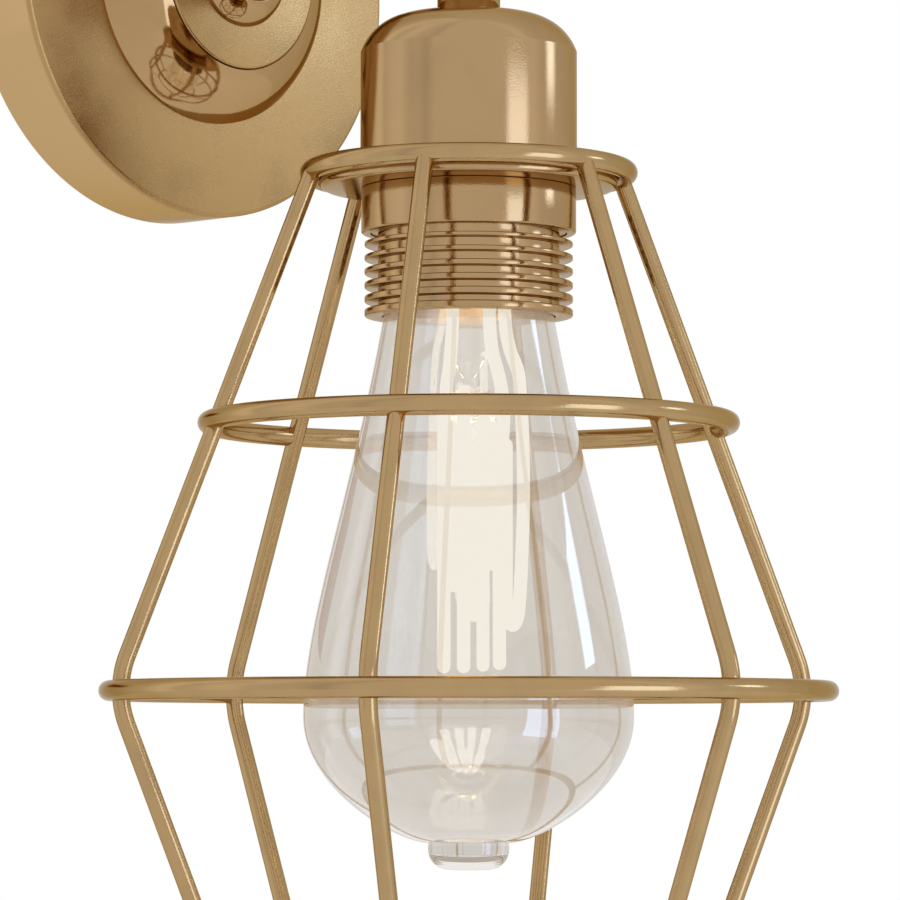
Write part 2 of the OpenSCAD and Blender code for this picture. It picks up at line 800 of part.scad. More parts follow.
module retaining_ring() {
    edge = ring_nut_edge_r;
    color(gold) at_lamp() translate([0, 0, ring_nut_bottom]) difference() {
        translate([0, 0, ring_nut_h]) mirror([0, 0, 1])
            rotate_extrude() rounded_section(ring_nut_d / 2, ring_nut_h, edge);
        disk(skirt_d / 2 + run_gap, ring_nut_h + 2 * cut, -cut);
    }
}

// ---- Leads ----

// Centreline of a lead, offset by [across, radial] inside the nipples and the arm
function lead_in_arm(off) = let (rr = bend_r - off.y, x = off.x) concat(
    [[x, -reach + off.y, nipple_low - 1]],
    [for (i = [0:bend_steps]) let (a = 90 * i / bend_steps)
        [x, -reach + bend_r - rr * cos(a), -bend_r + rr * sin(a)]],
    [[x, -disc_y, -off.y], [x, -bush_inner + 0.4, -off.y]]
);

function lead_offset(i) = lead_circle_r * [cos(90 + 120 * i), sin(90 + 120 * i)];

// From a holder terminal, through the arm, to the terminal block
function lead_points(start, i) =
    let (pole_x = (lead_poles[i] - (block_poles - 1) / 2) * pole_pitch, off = lead_offset(i))
    concat(
        start,
        lead_in_arm(off),
        [
            [off.x * 1.2, -bush_inner + 1.3, -off.y - 1.2],
            [pole_x * 0.6, -terminal_y - 0.2, -5],
            [pole_x, -terminal_y, -9],
            [pole_x, -terminal_y, block_z + block_l / 2 + 1],
            [pole_x, -terminal_y, block_z + block_l / 4 + 2.2]
        ]
    );

module lead(start, i, tint) {
    color(tint) sweep(lead_points(start, i), lead_r, lead_sides);
}

module lead_live() {
    y = -reach + screw_terminal_y;
    top = body_top + screw_terminal.z;
    lead([[0, y, top - 2.8], [0, y, top + 2], [0, y - 2, top + 4.5]], 0, "saddlebrown");
}

module lead_neutral() {
    y = -reach - screw_terminal_y;
    top = body_top + screw_terminal.z;
    lead([[0, y, top - 2.8], [0, y, top + 2], [0.5, y + 3, top + 4]], 1, "steelblue");
}

// Point below the earth tag, at a share of the way from the nipple's centre to the barrel
function below_tag(share, drop) =
    [share * tag_reach * tag_way.x, -reach + share * tag_reach * tag_way.y, tag_low - drop];

module lead_earth() {
    lead([below_tag(1, -1.2), below_tag(1, 1.3), below_tag(0.8, 2.6), below_tag(0.45, 2.8)],
        2, "yellowgreen");
}

// ---- Cage ----

function knee_angle() =
    acos(unit(wire_top - wire_knee) * unit(wire_end - wire_knee));

// Line of one upright wire in its own radial plane, before its ends are cut to the rings
module wire_line() {
    up = unit(wire_top - wire_knee);
    down = unit(wire_end - wire_knee);
    half = knee_angle() / 2;
    run = wire_bend_r / tan(half);
    centre = wire_knee + unit(up + down) * wire_bend_r / sin(half);
    from = wire_knee + down * run;
    start = atan2(from.y - centre.y, from.x - centre.x);
    rod(wire_knee + up * (run - bend_overlap), wire_top, wire_r);
    rod(from - down * bend_overlap, wire_end, wire_r);
    translate([centre.x, 0, centre.y]) rotate([90, 0, 0]) rotate([0, 0, start])
        rotate_extrude(angle = 180 - 2 * half) translate([wire_bend_r, 0])
            circle(r = wire_r + bend_swell);
}

module each_wire() {
    for (i = [1:wire_count]) turn_to_wire(i) children();
}

// The first wire points straight out from the wall
module turn_to_wire(i) {
    rotate([0, 0, cage_turn - 90 + (i - 1) * 360 / wire_count]) children();
}

module cage_wire(i) {
    color(bright_gold) at_lamp() difference() {
        turn_to_wire(i) wire_line();
        translate([0, 0, top_ring_z]) torus(top_ring_r, ring_wire_r);
        translate([0, 0, bottom_ring_z]) torus(bottom_ring_r, ring_wire_r);
    }
}

module cage_ring_top() {
    color(gold) at_lamp() translate([0, 0, top_ring_z]) torus(top_ring_r, ring_wire_r, $fn = 144);
}

module cage_ring_middle() {
    color(gold) at_lamp() difference() {
        translate([0, 0, middle_ring_z]) torus(middle_ring_r, ring_wire_r, $fn = 144);
        each_wire() wire_line();
    }
}

module cage_ring_wide() {
    color(gold) at_lamp() difference() {
        translate([0, 0, wide_ring_z]) torus(wide_ring_r, ring_wire_r, $fn = 144);
        each_wire() wire_line();
    }
}

module cage_ring_bottom() {
    color(gold) at_lamp() translate([0, 0, bottom_ring_z])
        torus(bottom_ring_r, ring_wire_r, $fn = 144);
}

// Pressed plate inside the top ring, with an upturned rim, clamped under the cup
module cage_top_plate() {
    rim_r = top_ring_r - ring_wire_r - seat_gap;
    edge = 1;
    color(gold) at_lamp() translate([0, 0, collar_bottom]) difference() {
        translate([0, 0, top_ring_lift]) mirror([0, 0, 1])
            rotate_extrude($fn = 144) rounded_section(rim_r, top_ring_lift, edge);
        disk(rim_r - collar_t, top_ring_lift, collar_t);
        disk(skirt_d / 2 + run_gap, 2 * top_ring_lift, -cut);
    }
}

// ---- Bulb ----

function glass_side() = concat(
    bezier(
        [neck_d / 2, cap_bottom],
        [neck_d / 2 + neck_handle * sin(neck_flare), cap_bottom - neck_handle * cos(neck_flare)],
        [bulb_d / 2, belly_z + belly_handle_up],
        [bulb_d / 2, belly_z], 18
    ),
    [for (p = bezier(
        [bulb_d / 2, belly_z],
        [bulb_d / 2, belly_z - belly_handle_down],
        [pip_d / 2 + base_handle * cos(base_slope), pip_top + base_handle * sin(base_slope)],
        [pip_d / 2, pip_top], 14
    )) if (p.y < belly_z - 0.01) p]
);

// Half section of the glass with its pip, filled to the axis
module glass_section() {
    shoulder = cap_d / 2 - 1.5;
    edge = pip_h * 0.75;
    pip_corner = [pip_d / 2 - edge, bulb_bottom + edge];
    polygon(concat(
        [[0, cap_bottom + 1], [shoulder, cap_bottom + 1]],
        glass_side(),
        [for (a = [0:-15:-90]) pip_corner + edge * [cos(a), sin(a)]],
        [[0, bulb_bottom]]
    ));
}

module glass_hollow_section() {
    side = [for (p = inset(glass_side(), glass_t)) if (p.y > pip_top + 0.6) p];
    collar = cap_d / 2 - 2.6;
    polygon(concat(
        [[0, side[len(side) - 1].y], [0, cap_bottom + 2], [collar, cap_bottom + 2]],
        [[collar, cap_bottom], [side[0].x, cap_bottom]], side
    ));
}

module bulb_glass() {
    color("white", 0.3) at_lamp() rotate_extrude($fn = 144) difference() {
        glass_section();
        glass_hollow_section();
    }
}

module bulb_cap() {
    root = cap_d / 2 - cap_thread;
    turns = floor((cap_top - cap_bottom - 5) / cap_pitch);
    color(steel) at_lamp() difference() {
        union() {
            disk(root, cap_top - cap_bottom - 1, cap_bottom + 1);
            disk(cap_d / 2, 2, cap_bottom + 1);
            for (i = [0:turns - 1]) translate([0, 0, cap_bottom + 4 + i * cap_pitch])
                rotate_extrude() polygon([
                    [root - 0.2, 0], [cap_d / 2, cap_pitch * 0.3],
                    [cap_d / 2, cap_pitch * 0.55], [root - 0.2, cap_pitch * 0.85]
                ]);
        }
        disk(root - 0.5, cap_top - cap_bottom - 0.5, cap_bottom);
    }
}

module bulb_insulator() {
    root = cap_d / 2 - cap_thread;
    color("black") at_lamp() translate([0, 0, cap_top]) rotate_extrude() polygon([
        [0, 0], [root - 2, 0], [5.6, 2.2], [0, 2.2]
    ]);
}

module bulb_tip() {
    color(steel) at_lamp() translate([0, 0, cap_top + 2.2])
        rotate_extrude() rounded_section(4.8, tip_z - cap_top - 2.2, 0.8);
}

// Glass mount: a flared foot in the cap, a pressed neck and a thin rod down the middle
module bulb_stem() {
    rod_end = strand_top - strand_d - 3;
    color("white", 0.3) at_lamp() {
        rotate_extrude() polygon([
            [0, cap_bottom - 0.4], [cap_d / 2 - 2.7, cap_bottom - 0.4],
            [4.4, strand_top + stem_room * 0.83], [3.4, strand_top + stem_room * 0.41],
            [1.2, strand_top + stem_room * 0.24], [1.2, rod_end], [0, rod_end]
        ]);
        translate([0, 0, rod_end]) sphere(r = 1.9, $fn = 32);
    }
}

// Spider of support wire at the strands' upper ends
module bulb_supports() {
    color(steel) at_lamp() each_strand()
        translate([1.2 + seat_gap, 0, strand_top - strand_d]) rotate([0, 90, 0])
            disk(support_d / 2, strand_circle_d / 2 - strand_d / 2 - 1.2 - 2 * seat_gap);
}

module each_strand() {
    for (i = [0:strand_count - 1]) rotate([0, 0, i * 360 / strand_count]) children();
}

// Upright strands with round ends, in a circle round the stem
module bulb_filament() {
    r = strand_d / 2;
    color("#f5ecdc") at_lamp() each_strand()
        translate([strand_circle_d / 2, 0, strand_low]) rotate_extrude($fn = 24)
            intersection() {
                union() {
                    translate([0, r]) square([r, strand_l - 2 * r]);
                    for (h = [r, strand_l - r]) translate([0, h]) circle(r = r);
                }
                square([r + cut, strand_l]);
            }
}

wall_bracket();
bracket_nuts();
earth_screw();
terminal_block();
terminal_clamps();
wall_plate();
side_screws();
hub_dome();
hub_disc();
hub_boss();
arm_tube();
wall_nipple();
wall_washer();
wall_nut();
wire_bush();
cup();
cup_nipple();
cup_nuts();
holder_yoke();
earth_tag();
holder_screws();
holder_body();
holder_shell();
holder_contact();
holder_terminals();
holder_skirt();
lead_live();
lead_neutral();
lead_earth();
retaining_ring();
cage_top_plate();
cage_ring_top();
cage_ring_middle();
cage_ring_wide();
cage_ring_bottom();
for (i = [1:wire_count])
    cage_wire(i);
bulb_glass();
bulb_cap();
bulb_insulator();
bulb_tip();
bulb_stem();
bulb_supports();
bulb_filament();
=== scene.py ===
"""Cage wall light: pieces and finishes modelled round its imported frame, and its studio.

The wall is the plane Y = 0, the lamp stands out towards -Y and +Z is up. Lengths are in metres.
Sizes come from the boxes of the frame's own pieces wherever a box gives them."""

import math

import bpy
from bpy.props import FloatProperty, FloatVectorProperty, IntProperty, PointerProperty
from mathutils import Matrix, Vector


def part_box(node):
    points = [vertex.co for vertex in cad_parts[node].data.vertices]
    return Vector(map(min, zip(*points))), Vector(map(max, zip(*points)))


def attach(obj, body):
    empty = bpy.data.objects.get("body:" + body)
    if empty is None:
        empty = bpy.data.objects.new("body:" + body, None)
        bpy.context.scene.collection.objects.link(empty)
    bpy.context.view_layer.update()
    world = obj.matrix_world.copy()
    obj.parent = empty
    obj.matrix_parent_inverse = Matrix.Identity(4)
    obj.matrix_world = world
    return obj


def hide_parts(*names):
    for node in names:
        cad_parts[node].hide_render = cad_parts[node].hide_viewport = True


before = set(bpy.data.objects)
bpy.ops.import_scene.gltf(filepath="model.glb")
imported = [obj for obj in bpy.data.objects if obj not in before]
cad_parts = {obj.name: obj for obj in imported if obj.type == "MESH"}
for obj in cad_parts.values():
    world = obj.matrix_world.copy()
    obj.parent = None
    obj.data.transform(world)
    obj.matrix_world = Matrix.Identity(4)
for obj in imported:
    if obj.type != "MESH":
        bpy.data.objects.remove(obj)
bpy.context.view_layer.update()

bl_info = {
    "name": "Cage wall light",
    "version": (1, 0, 0),
    "blender": (4, 5, 0),
    "location": "3D View > Sidebar > Cage light",
    "description": "Models the pieces of a gold cage wall light and sets up its studio",
    "category": "Object",
}

MM = 0.001


def low(node):
    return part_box(node)[0]


def high(node):
    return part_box(node)[1]


def srgb(red, green, blue):
    """Scene-linear colour of a 0 to 255 screen colour."""
    def linear(value):
        share = value / 255
        return share / 12.92 if share <= 0.04045 else ((share + 0.055) / 1.055) ** 2.4
    return linear(red), linear(green), linear(blue)


# Places that several pieces share
LAMP_Y = (low("bulb_glass").y + high("bulb_glass").y) / 2
TUBE_R = high("arm_tube").z
CUP_TOP = high("cup").z
CUP_RIM = low("cup").z
SKIRT_LOW = low("holder_skirt").z
SKIRT_TOP = high("holder_skirt").z
CAP_LOW = low("bulb_cap").z
CAP_R = high("bulb_cap").x
BULB_LOW = low("bulb_glass").z


# ---- Settings ----

class FinishSettings(bpy.types.PropertyGroup):
    """Colours and surface qualities of the finishes."""
    gold: FloatVectorProperty(
        name="Plated gold", description="Colour of the gold plating on cup and holder",
        default=srgb(190, 157, 114), subtype="COLOR", min=0, max=1)
    satin_gold: FloatVectorProperty(
        name="Satin gold", description="Colour of the satin plate and disc",
        default=srgb(189, 154, 103), subtype="COLOR", min=0, max=1)
    side_gold: FloatVectorProperty(
        name="Plate side gold", description="Colour of the wall plate's polished side",
        default=srgb(207, 173, 124), subtype="COLOR", min=0, max=1)
    polish: FloatVectorProperty(
        name="Polished gold", description="Colour of the polished gold of hub and boss",
        default=srgb(190, 154, 108), subtype="COLOR", min=0, max=1)
    wire: FloatVectorProperty(
        name="Cage gold", description="Colour of the cage's wires and rings",
        default=srgb(190, 158, 112), subtype="COLOR", min=0, max=1)
    satin: FloatProperty(
        name="Satin roughness", description="Mean roughness of the satin plate and disc",
        default=0.29, min=0, max=1, subtype="FACTOR")
    plated: FloatProperty(
        name="Plated roughness", description="Mean roughness of cup, holder and cage",
        default=0.09, min=0, max=1, subtype="FACTOR")
    bright: FloatProperty(
        name="Polished roughness", description="Mean roughness of polished gold",
        default=0.05, min=0, max=1, subtype="FACTOR")
    tint: FloatVectorProperty(
        name="Glass tint", description="Colour that one wall of the bulb's glass lets through",
        default=(0.755, 0.75, 0.73), subtype="COLOR", min=0, max=1)
    # Painted glow: the glass's faint emission at each surface stands in for light scattered in the
    # lit glass; the glass is no lamp.
    painted_glow: FloatVectorProperty(
        name="Glass haze", description="Faint glow of the lit glass, at each of its surfaces",
        default=(0.06, 0.05, 0.04), subtype="COLOR", min=0, max=1)
    glow: FloatVectorProperty(
        name="Strand glow", description="Colour of the glowing strands",
        default=srgb(255, 249, 237), subtype="COLOR", min=0, max=1)
    glow_strength: FloatProperty(
        name="Glow strength", description="Strength of the strands' light",
        default=1.08, min=0, max=20)


class BodySettings(bpy.types.PropertyGroup):
    """Sizes of the plate, hub, arm, cup and holder that the frame's boxes don't give."""
    plate_wall: FloatProperty(
        name="Plate wall", description="Thickness of the pressed wall plate",
        default=1.2 * MM, min=0.0005, max=0.003, unit="LENGTH", precision=4)
    plate_edge: FloatProperty(
        name="Plate edge", description="Rounding of the wall plate's front edge",
        default=0.9 * MM, min=0.0002, max=0.003, unit="LENGTH", precision=4)
    hub_side: FloatProperty(
        name="Hub side", description="Height of the hub dome's side",
        default=3 * MM, min=0.001, max=0.006, unit="LENGTH", precision=4)
    hub_slant: FloatProperty(
        name="Hub slant", description="How far the hub dome's side leans inwards",
        default=1.5 * MM, min=0, max=0.003, unit="LENGTH", precision=4)
    hub_arc: FloatProperty(
        name="Hub arc", description="Radius of the hub dome's arc",
        default=17 * MM, min=0.012, max=0.04, unit="LENGTH", precision=4)
    arm_bend: FloatProperty(
        name="Arm bend", description="Radius of the arm's bend at its centreline",
        default=12 * MM, min=0.01, max=0.02, unit="LENGTH", precision=4)
    cup_arc: FloatProperty(
        name="Cup arc", description="Radius of the cup's shoulder",
        default=10.8 * MM, min=0.008, max=0.016, unit="LENGTH", precision=4)
    cup_slope: FloatProperty(
        name="Cup slope", description="Slope of the shoulder where it leaves the cup's side",
        default=math.radians(71), min=0.8, max=1.5, subtype="ANGLE")
    cup_wall: FloatProperty(
        name="Cup wall", description="Thickness of the cup's wall",
        default=1.2 * MM, min=0.0006, max=0.002, unit="LENGTH", precision=4)
    skirt_d: FloatProperty(
        name="Skirt diameter", description="Diameter of the holder skirt above its ribs",
        default=38.4 * MM, min=0.03, max=0.04, unit="LENGTH", precision=4)
    skirt_bore: FloatProperty(
        name="Skirt bore", description="Bore of the holder skirt",
        default=34 * MM, min=0.03, max=0.036, unit="LENGTH", precision=4)
    groove_d: FloatProperty(
        name="Groove diameter", description="Diameter between the skirt's ribs",
        default=35.6 * MM, min=0.034, max=0.038, unit="LENGTH", precision=4)
    rib_count: IntProperty(
        name="Ribs", description="Number of ribs round the skirt",
        default=6, min=2, max=6)
    rib_pitch: FloatProperty(
        name="Rib pitch", description="Distance from rib to rib",
        default=2.78 * MM, min=0.002, max=0.004, unit="LENGTH", precision=4)
    rib_t: FloatProperty(
        name="Rib thickness", description="Thickness of the lowest rib",
        default=1.5 * MM, min=0.0005, max=0.002, unit="LENGTH", precision=4)
    rib_top_t: FloatProperty(
        name="Upper rib thickness", description="Thickness of the uppermost rib",
        default=0.8 * MM, min=0.0005, max=0.002, unit="LENGTH", precision=4)
    collar_t: FloatProperty(
        name="Top plate thickness", description="Thickness of the cage's pressed top plate",
        default=1.6 * MM, min=0.0008, max=0.0025, unit="LENGTH", precision=4)


class CageSettings(bpy.types.PropertyGroup):
    """Sizes of the cage's wires."""
    wire_d: FloatProperty(
        name="Wire thickness", description="Thickness of an upright wire",
        default=3.44 * MM, min=0.002, max=0.005, unit="LENGTH", precision=4)
    wire_bend: FloatProperty(
        name="Wire bend", description="Radius of the wires' bend at the widest ring",
        default=18.5 * MM, min=0.008, max=0.03, unit="LENGTH", precision=4)
    wire_count: IntProperty(
        name="Wires", description="Number of upright wires",
        default=6, min=3, max=12)
    turn: FloatProperty(
        name="Cage turn", description="Turn of the first wire away from straight out of the wall",
        default=math.radians(-1.1), min=-0.6, max=0.6, subtype="ANGLE")


class BulbSettings(bpy.types.PropertyGroup):
    """Sizes of the bulb that the frame's boxes don't give."""
    glass_t: FloatProperty(
        name="Glass thickness", description="Thickness of the bulb's glass",
        default=0.8 * MM, min=0.0004, max=0.002, unit="LENGTH", precision=4)
    neck_d: FloatProperty(
        name="Neck diameter", description="Diameter of the glass where it leaves the cap",
        default=31.1 * MM, min=0.026, max=0.034, unit="LENGTH", precision=4)
    neck_flare: FloatProperty(
        name="Neck flare", description="Flare of the glass at the cap",
        default=math.radians(9), min=0, max=0.3, subtype="ANGLE")
    belly_h: FloatProperty(
        name="Belly height", description="Height of the widest level over the bulb's bottom",
        default=29.7 * MM, min=0.025, max=0.045, unit="LENGTH", precision=4)
    pip_d: FloatProperty(
        name="Pip diameter", description="Diameter of the pip at the bulb's bottom",
        default=15.8 * MM, min=0.008, max=0.02, unit="LENGTH", precision=4)
    pip_h: FloatProperty(
        name="Pip height", description="Height of the pip",
        default=5.2 * MM, min=0.002, max=0.008, unit="LENGTH", precision=4)
    strand_d: FloatProperty(
        name="Strand thickness", description="Thickness of a glowing strand",
        default=2.6 * MM, min=0.0005, max=0.003, unit="LENGTH", precision=4)
    cap_pitch: FloatProperty(
        name="Thread pitch", description="Pitch of the cap's screw thread",
        default=3.63 * MM, min=0.003, max=0.005, unit="LENGTH", precision=4)


class StudioSettings(bpy.types.PropertyGroup):
    """Camera, floor and lamps."""
    camera_place: FloatVectorProperty(
        name="Camera", description="Where the camera stands",
        default=(-0.6107, -0.6863, -0.1589), subtype="TRANSLATION", unit="LENGTH")
    camera_heading: FloatProperty(
        name="Heading", description="Turn of the camera from looking straight at the wall",
        default=math.radians(-45.56), subtype="ANGLE")
    camera_rise: FloatProperty(
        name="Rise", description="How far the camera looks up",
        default=math.radians(3.773), subtype="ANGLE")
    camera_roll: FloatProperty(
        name="Roll", description="Turn of the camera about its own view",
        default=math.radians(-0.03), subtype="ANGLE")
    lens: FloatProperty(
        name="Lens", description="Focal length on a 36 mm frame, in millimetres",
        default=174.5, min=20, max=400)
    floor_z: FloatProperty(
        name="Floor", description="Height of the floor",
        default=-0.8, unit="LENGTH")
    ambient: FloatProperty(
        name="Ambient light", description="Strength of the world's soft light on matt surfaces",
        default=0.35, min=0, max=1)
    mirrored: FloatProperty(
        name="Mirrored surroundings", description="Strength of the surroundings in reflections",
        default=0.8, min=0, max=1)
    behind_glass: FloatProperty(
        name="Surroundings behind glass", description="Strength of the surroundings seen in glass",
        default=1.0, min=0, max=1)


SETTINGS = {
    "cage_light_finish": FinishSettings,
    "cage_light_body": BodySettings,
    "cage_light_cage": CageSettings,
    "cage_light_bulb": BulbSettings,
    "cage_light_studio": StudioSettings,
}


def settings(name):
    return getattr(bpy.context.scene, "cage_light_" + name)


# ---- Modelling helpers ----

def deselect():
    if bpy.context.mode != "OBJECT":
        bpy.ops.object.mode_set(mode="OBJECT")
    bpy.ops.object.select_all(action="DESELECT")


def lamp_point(radius, height):
    """Point beside the lamp's upright axis."""
    return Vector((radius, LAMP_Y, height))


def wall_point(radius, out):
    """Point beside the hub's axis, out from the wall."""
    return Vector((radius, -out, 0))


LAMP_TURN = {"place": lamp_point, "center": (0, LAMP_Y, 0), "axis": (0, 0, 1)}
WALL_TURN = {"place": wall_point, "center": (0, 0, 0), "axis": (0, 1, 0)}


def arc(centre, radius, start, end, steps):
    """Points of an arc from one angle to another."""
    return [
        Vector((centre[0] + radius * math.cos(a), centre[1] + radius * math.sin(a)))
        for a in (start + (end - start) * i / steps for i in range(steps + 1))
    ]


def rounded(corners, steps=5):
    """Outline through (radius, height, rounding) corners, each corner rounded by its own arc."""
    outline = []
    for i, (radius, height, rounding) in enumerate(corners):
        here = Vector((radius, height))
        if not rounding or i in (0, len(corners) - 1):
            outline.append(here)
            continue
        before = (Vector(corners[i - 1][:2]) - here).normalized()
        after = (Vector(corners[i + 1][:2]) - here).normalized()
        half = before.angle(after) / 2
        centre = here + (before + after).normalized() * rounding / math.sin(half)
        run = rounding / math.tan(half)
        first = here + before * run - centre
        last = here + after * run - centre
        start = math.atan2(first.y, first.x)
        turn = (math.atan2(last.y, last.x) - start + math.pi) % (2 * math.pi) - math.pi
        outline += arc(centre, rounding, start, start + turn, steps)
    return outline


def bezier(a, b, c, d, steps):
    return [
        a * (1 - t) ** 3 + b * 3 * t * (1 - t) ** 2 + c * 3 * t * t * (1 - t) + d * t ** 3
        for t in (i / steps for i in range(steps + 1))
    ]


def bowed(a, b, radius, steps):
    """Points of an arc from a to b, with its centre on the left of the way."""
    way = b - a
    rise = math.sqrt(radius * radius - way.length_squared / 4)
    centre = (a + b) / 2 + Vector((-way.y, way.x)).normalized() * rise
    start, end = (math.atan2(p.y - centre.y, p.x - centre.x) for p in (a, b))
    return arc(centre, radius, start, end, steps)


def smooth(angle=32):
    bpy.ops.object.shade_smooth_by_angle(angle=math.radians(angle))


def named(name):
    made = bpy.context.object
    made.name = name
    made.data.name = name
    return made


def turned(name, outline, way, steps=144):
    """A turned piece: one point is extruded along the outline and the line is spun round."""
    deselect()
    bpy.ops.mesh.primitive_plane_add(size=MM)
    made = named(name)
    bpy.ops.object.mode_set(mode="EDIT")
    bpy.ops.mesh.merge(type="CENTER")
    points = [way["place"](*point) for point in outline]
    bpy.ops.transform.translate(value=points[0])
    for before, after in zip(points, points[1:]):
        bpy.ops.mesh.extrude_region_move(TRANSFORM_OT_translate={"value": after - before})
    bpy.ops.mesh.select_all(action="SELECT")
    bpy.ops.mesh.spin(steps=steps, angle=2 * math.pi, center=way["center"], axis=way["axis"])
    bpy.ops.mesh.select_all(action="SELECT")
    bpy.ops.mesh.remove_doubles(threshold=0.002 * MM)
    bpy.ops.mesh.normals_make_consistent(inside=False)
    bpy.ops.object.mode_set(mode="OBJECT")
    smooth()
    return made


def tapered(line, radius, steps):
    """Points of a line with their share of the radius, so that both its ends are round."""
    first = (line[1] - line[0]).normalized()
    last = (line[-1] - line[-2]).normalized()
    turns = [math.pi / 2 * i / steps for i in range(1, steps + 1)]
    low_tip = [(line[0], 0.02)] + [
        (line[0] + first * radius * (1 - math.cos(a)), math.sin(a)) for a in turns]
    high_tip = [
        (line[-1] - last * radius * (1 - math.cos(a)), math.sin(a)) for a in reversed(turns)]
    middle = [
        (p, 1) for p in line
        if (p - line[0]).length > radius * 1.1 and (p - line[-1]).length > radius * 1.1]
    return low_tip + middle + high_tip + [(line[-1], 0.02)]


def swept(name, lines, radius, sides=20, caps=True, tips=0):
    """Round bars along lines of points, as one mesh; tips is the number of steps to a round end."""
    deselect()
    bpy.ops.curve.primitive_bezier_curve_add()
    made = named(name)
    made.location = (0, 0, 0)
    curve = made.data
    curve.dimensions = "3D"
    curve.splines.clear()
    for line in lines:
        path = tapered(line, radius, tips) if tips else [(place, 1) for place in line]
        spline = curve.splines.new("POLY")
        spline.points.add(len(path) - 1)
        for point, (place, share) in zip(spline.points, path):
            point.co = (*place, 1)
            point.radius = share
    curve.bevel_depth = radius
    curve.bevel_resolution = sides // 4
    curve.use_fill_caps = caps
    curve.twist_mode = "MINIMUM"
    bpy.ops.object.convert(target="MESH")
    made = bpy.context.object
    bpy.ops.object.mode_set(mode="EDIT")
    bpy.ops.mesh.select_all(action="SELECT")
    bpy.ops.mesh.remove_doubles(threshold=0.002 * MM)
    bpy.ops.mesh.normals_make_consistent(inside=False)
    bpy.ops.object.mode_set(mode="OBJECT")
    smooth(50)
    return made


def curve_through(points, steps=8):
    """A smooth line through given points."""
    line = []
    last = len(points) - 1
    for i in range(last):
        before = points[max(i - 1, 0)]
        after = points[min(i + 2, last)]
        a, d = points[i], points[i + 1]
        b = a + (d - before) / 6
        c = d - (after - a) / 6
        line += bezier(a, b, c, d, steps)[:-1]
    return line + [points[last]]


def apply_modifier(made, kind, **values):
    modifier = made.modifiers.new(kind.title(), kind)
    for key, value in values.items():
        setattr(modifier, key, value)
    bpy.context.view_layer.objects.active = made
    bpy.ops.object.modifier_apply(modifier=modifier.name)


def join(pieces, name):
    deselect()
    for piece in pieces:
        piece.select_set(True)
    bpy.context.view_layer.objects.active = pieces[0]
    bpy.ops.object.join()
    return named(name)


def dress(made, finish):
    """Gives a piece or a node of the frame its finish."""
    made.data.materials.clear()
    made.data.materials.append(finish_of(finish))


def fit(made, body, finish, node):
    """Gives a piece its body and its finish, and hides the node that it stands for."""
    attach(made, body)
    dress(made, finish)
    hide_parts(node)


# ---- Finishes ----

def feed(tree, node, inputs):
    """Links or sets a shader node's inputs."""
    for key, value in inputs.items():
        if isinstance(value, bpy.types.NodeSocket):
            tree.links.new(value, node.inputs[key])
        else:
            node.inputs[key].default_value = value


def add(tree, kind, inputs=None, **values):
    """Adds a shader node, and links or sets its inputs."""
    made = tree.nodes.new("ShaderNode" + kind)
    for key, value in values.items():
        setattr(made, key, value)
    feed(tree, made, inputs or {})
    return made


def new_material(name):
    material = bpy.data.materials.new(name)
    material.use_nodes = True
    tree = material.node_tree
    shader = tree.nodes["Principled BSDF"]
    return material, tree, shader


def shade(colour, share):
    return tuple(min(1, c * share) for c in colour[:3]) + (1,)


def noise(tree, place, scale, detail=2.0, roughness=0.5):
    made = add(tree, "TexNoise", {
        "Vector": place, "Scale": scale, "Detail": detail, "Roughness": roughness})
    return made.outputs["Fac"]


def ramp(tree, value, start, end, low_value, high_value):
    made = add(tree, "MapRange", {
        "Value": value, "From Min": start, "From Max": end,
        "To Min": low_value, "To Max": high_value})
    return made.outputs["Result"]


def blend_colour(tree, share, first, second):
    return add(
        tree, "Mix", {"Factor": share, "A": first, "B": second}, data_type="RGBA"
    ).outputs["Result"]


def object_place(tree):
    return add(tree, "TexCoord").outputs["Object"]


def show_instead(tree, share, shader, other):
    """Shows another shader in place of the first, by the share."""
    mixed = add(tree, "MixShader", {0: share, 1: shader.outputs[0], 2: other.outputs[0]})
    feed(tree, tree.nodes["Material Output"], {"Surface": mixed.outputs[0]})


def only_glow(tree, shader, colour, strength):
    """Makes a surface glow and reflect nothing."""
    feed(tree, shader, {
        "Emission Color": colour, "Emission Strength": strength, "Base Color": (0, 0, 0, 1),
        "Specular IOR Level": 0})


# Share of gold's mirror strength that is left at a grazing edge
EDGE = (0.72, 0.6, 0.42)


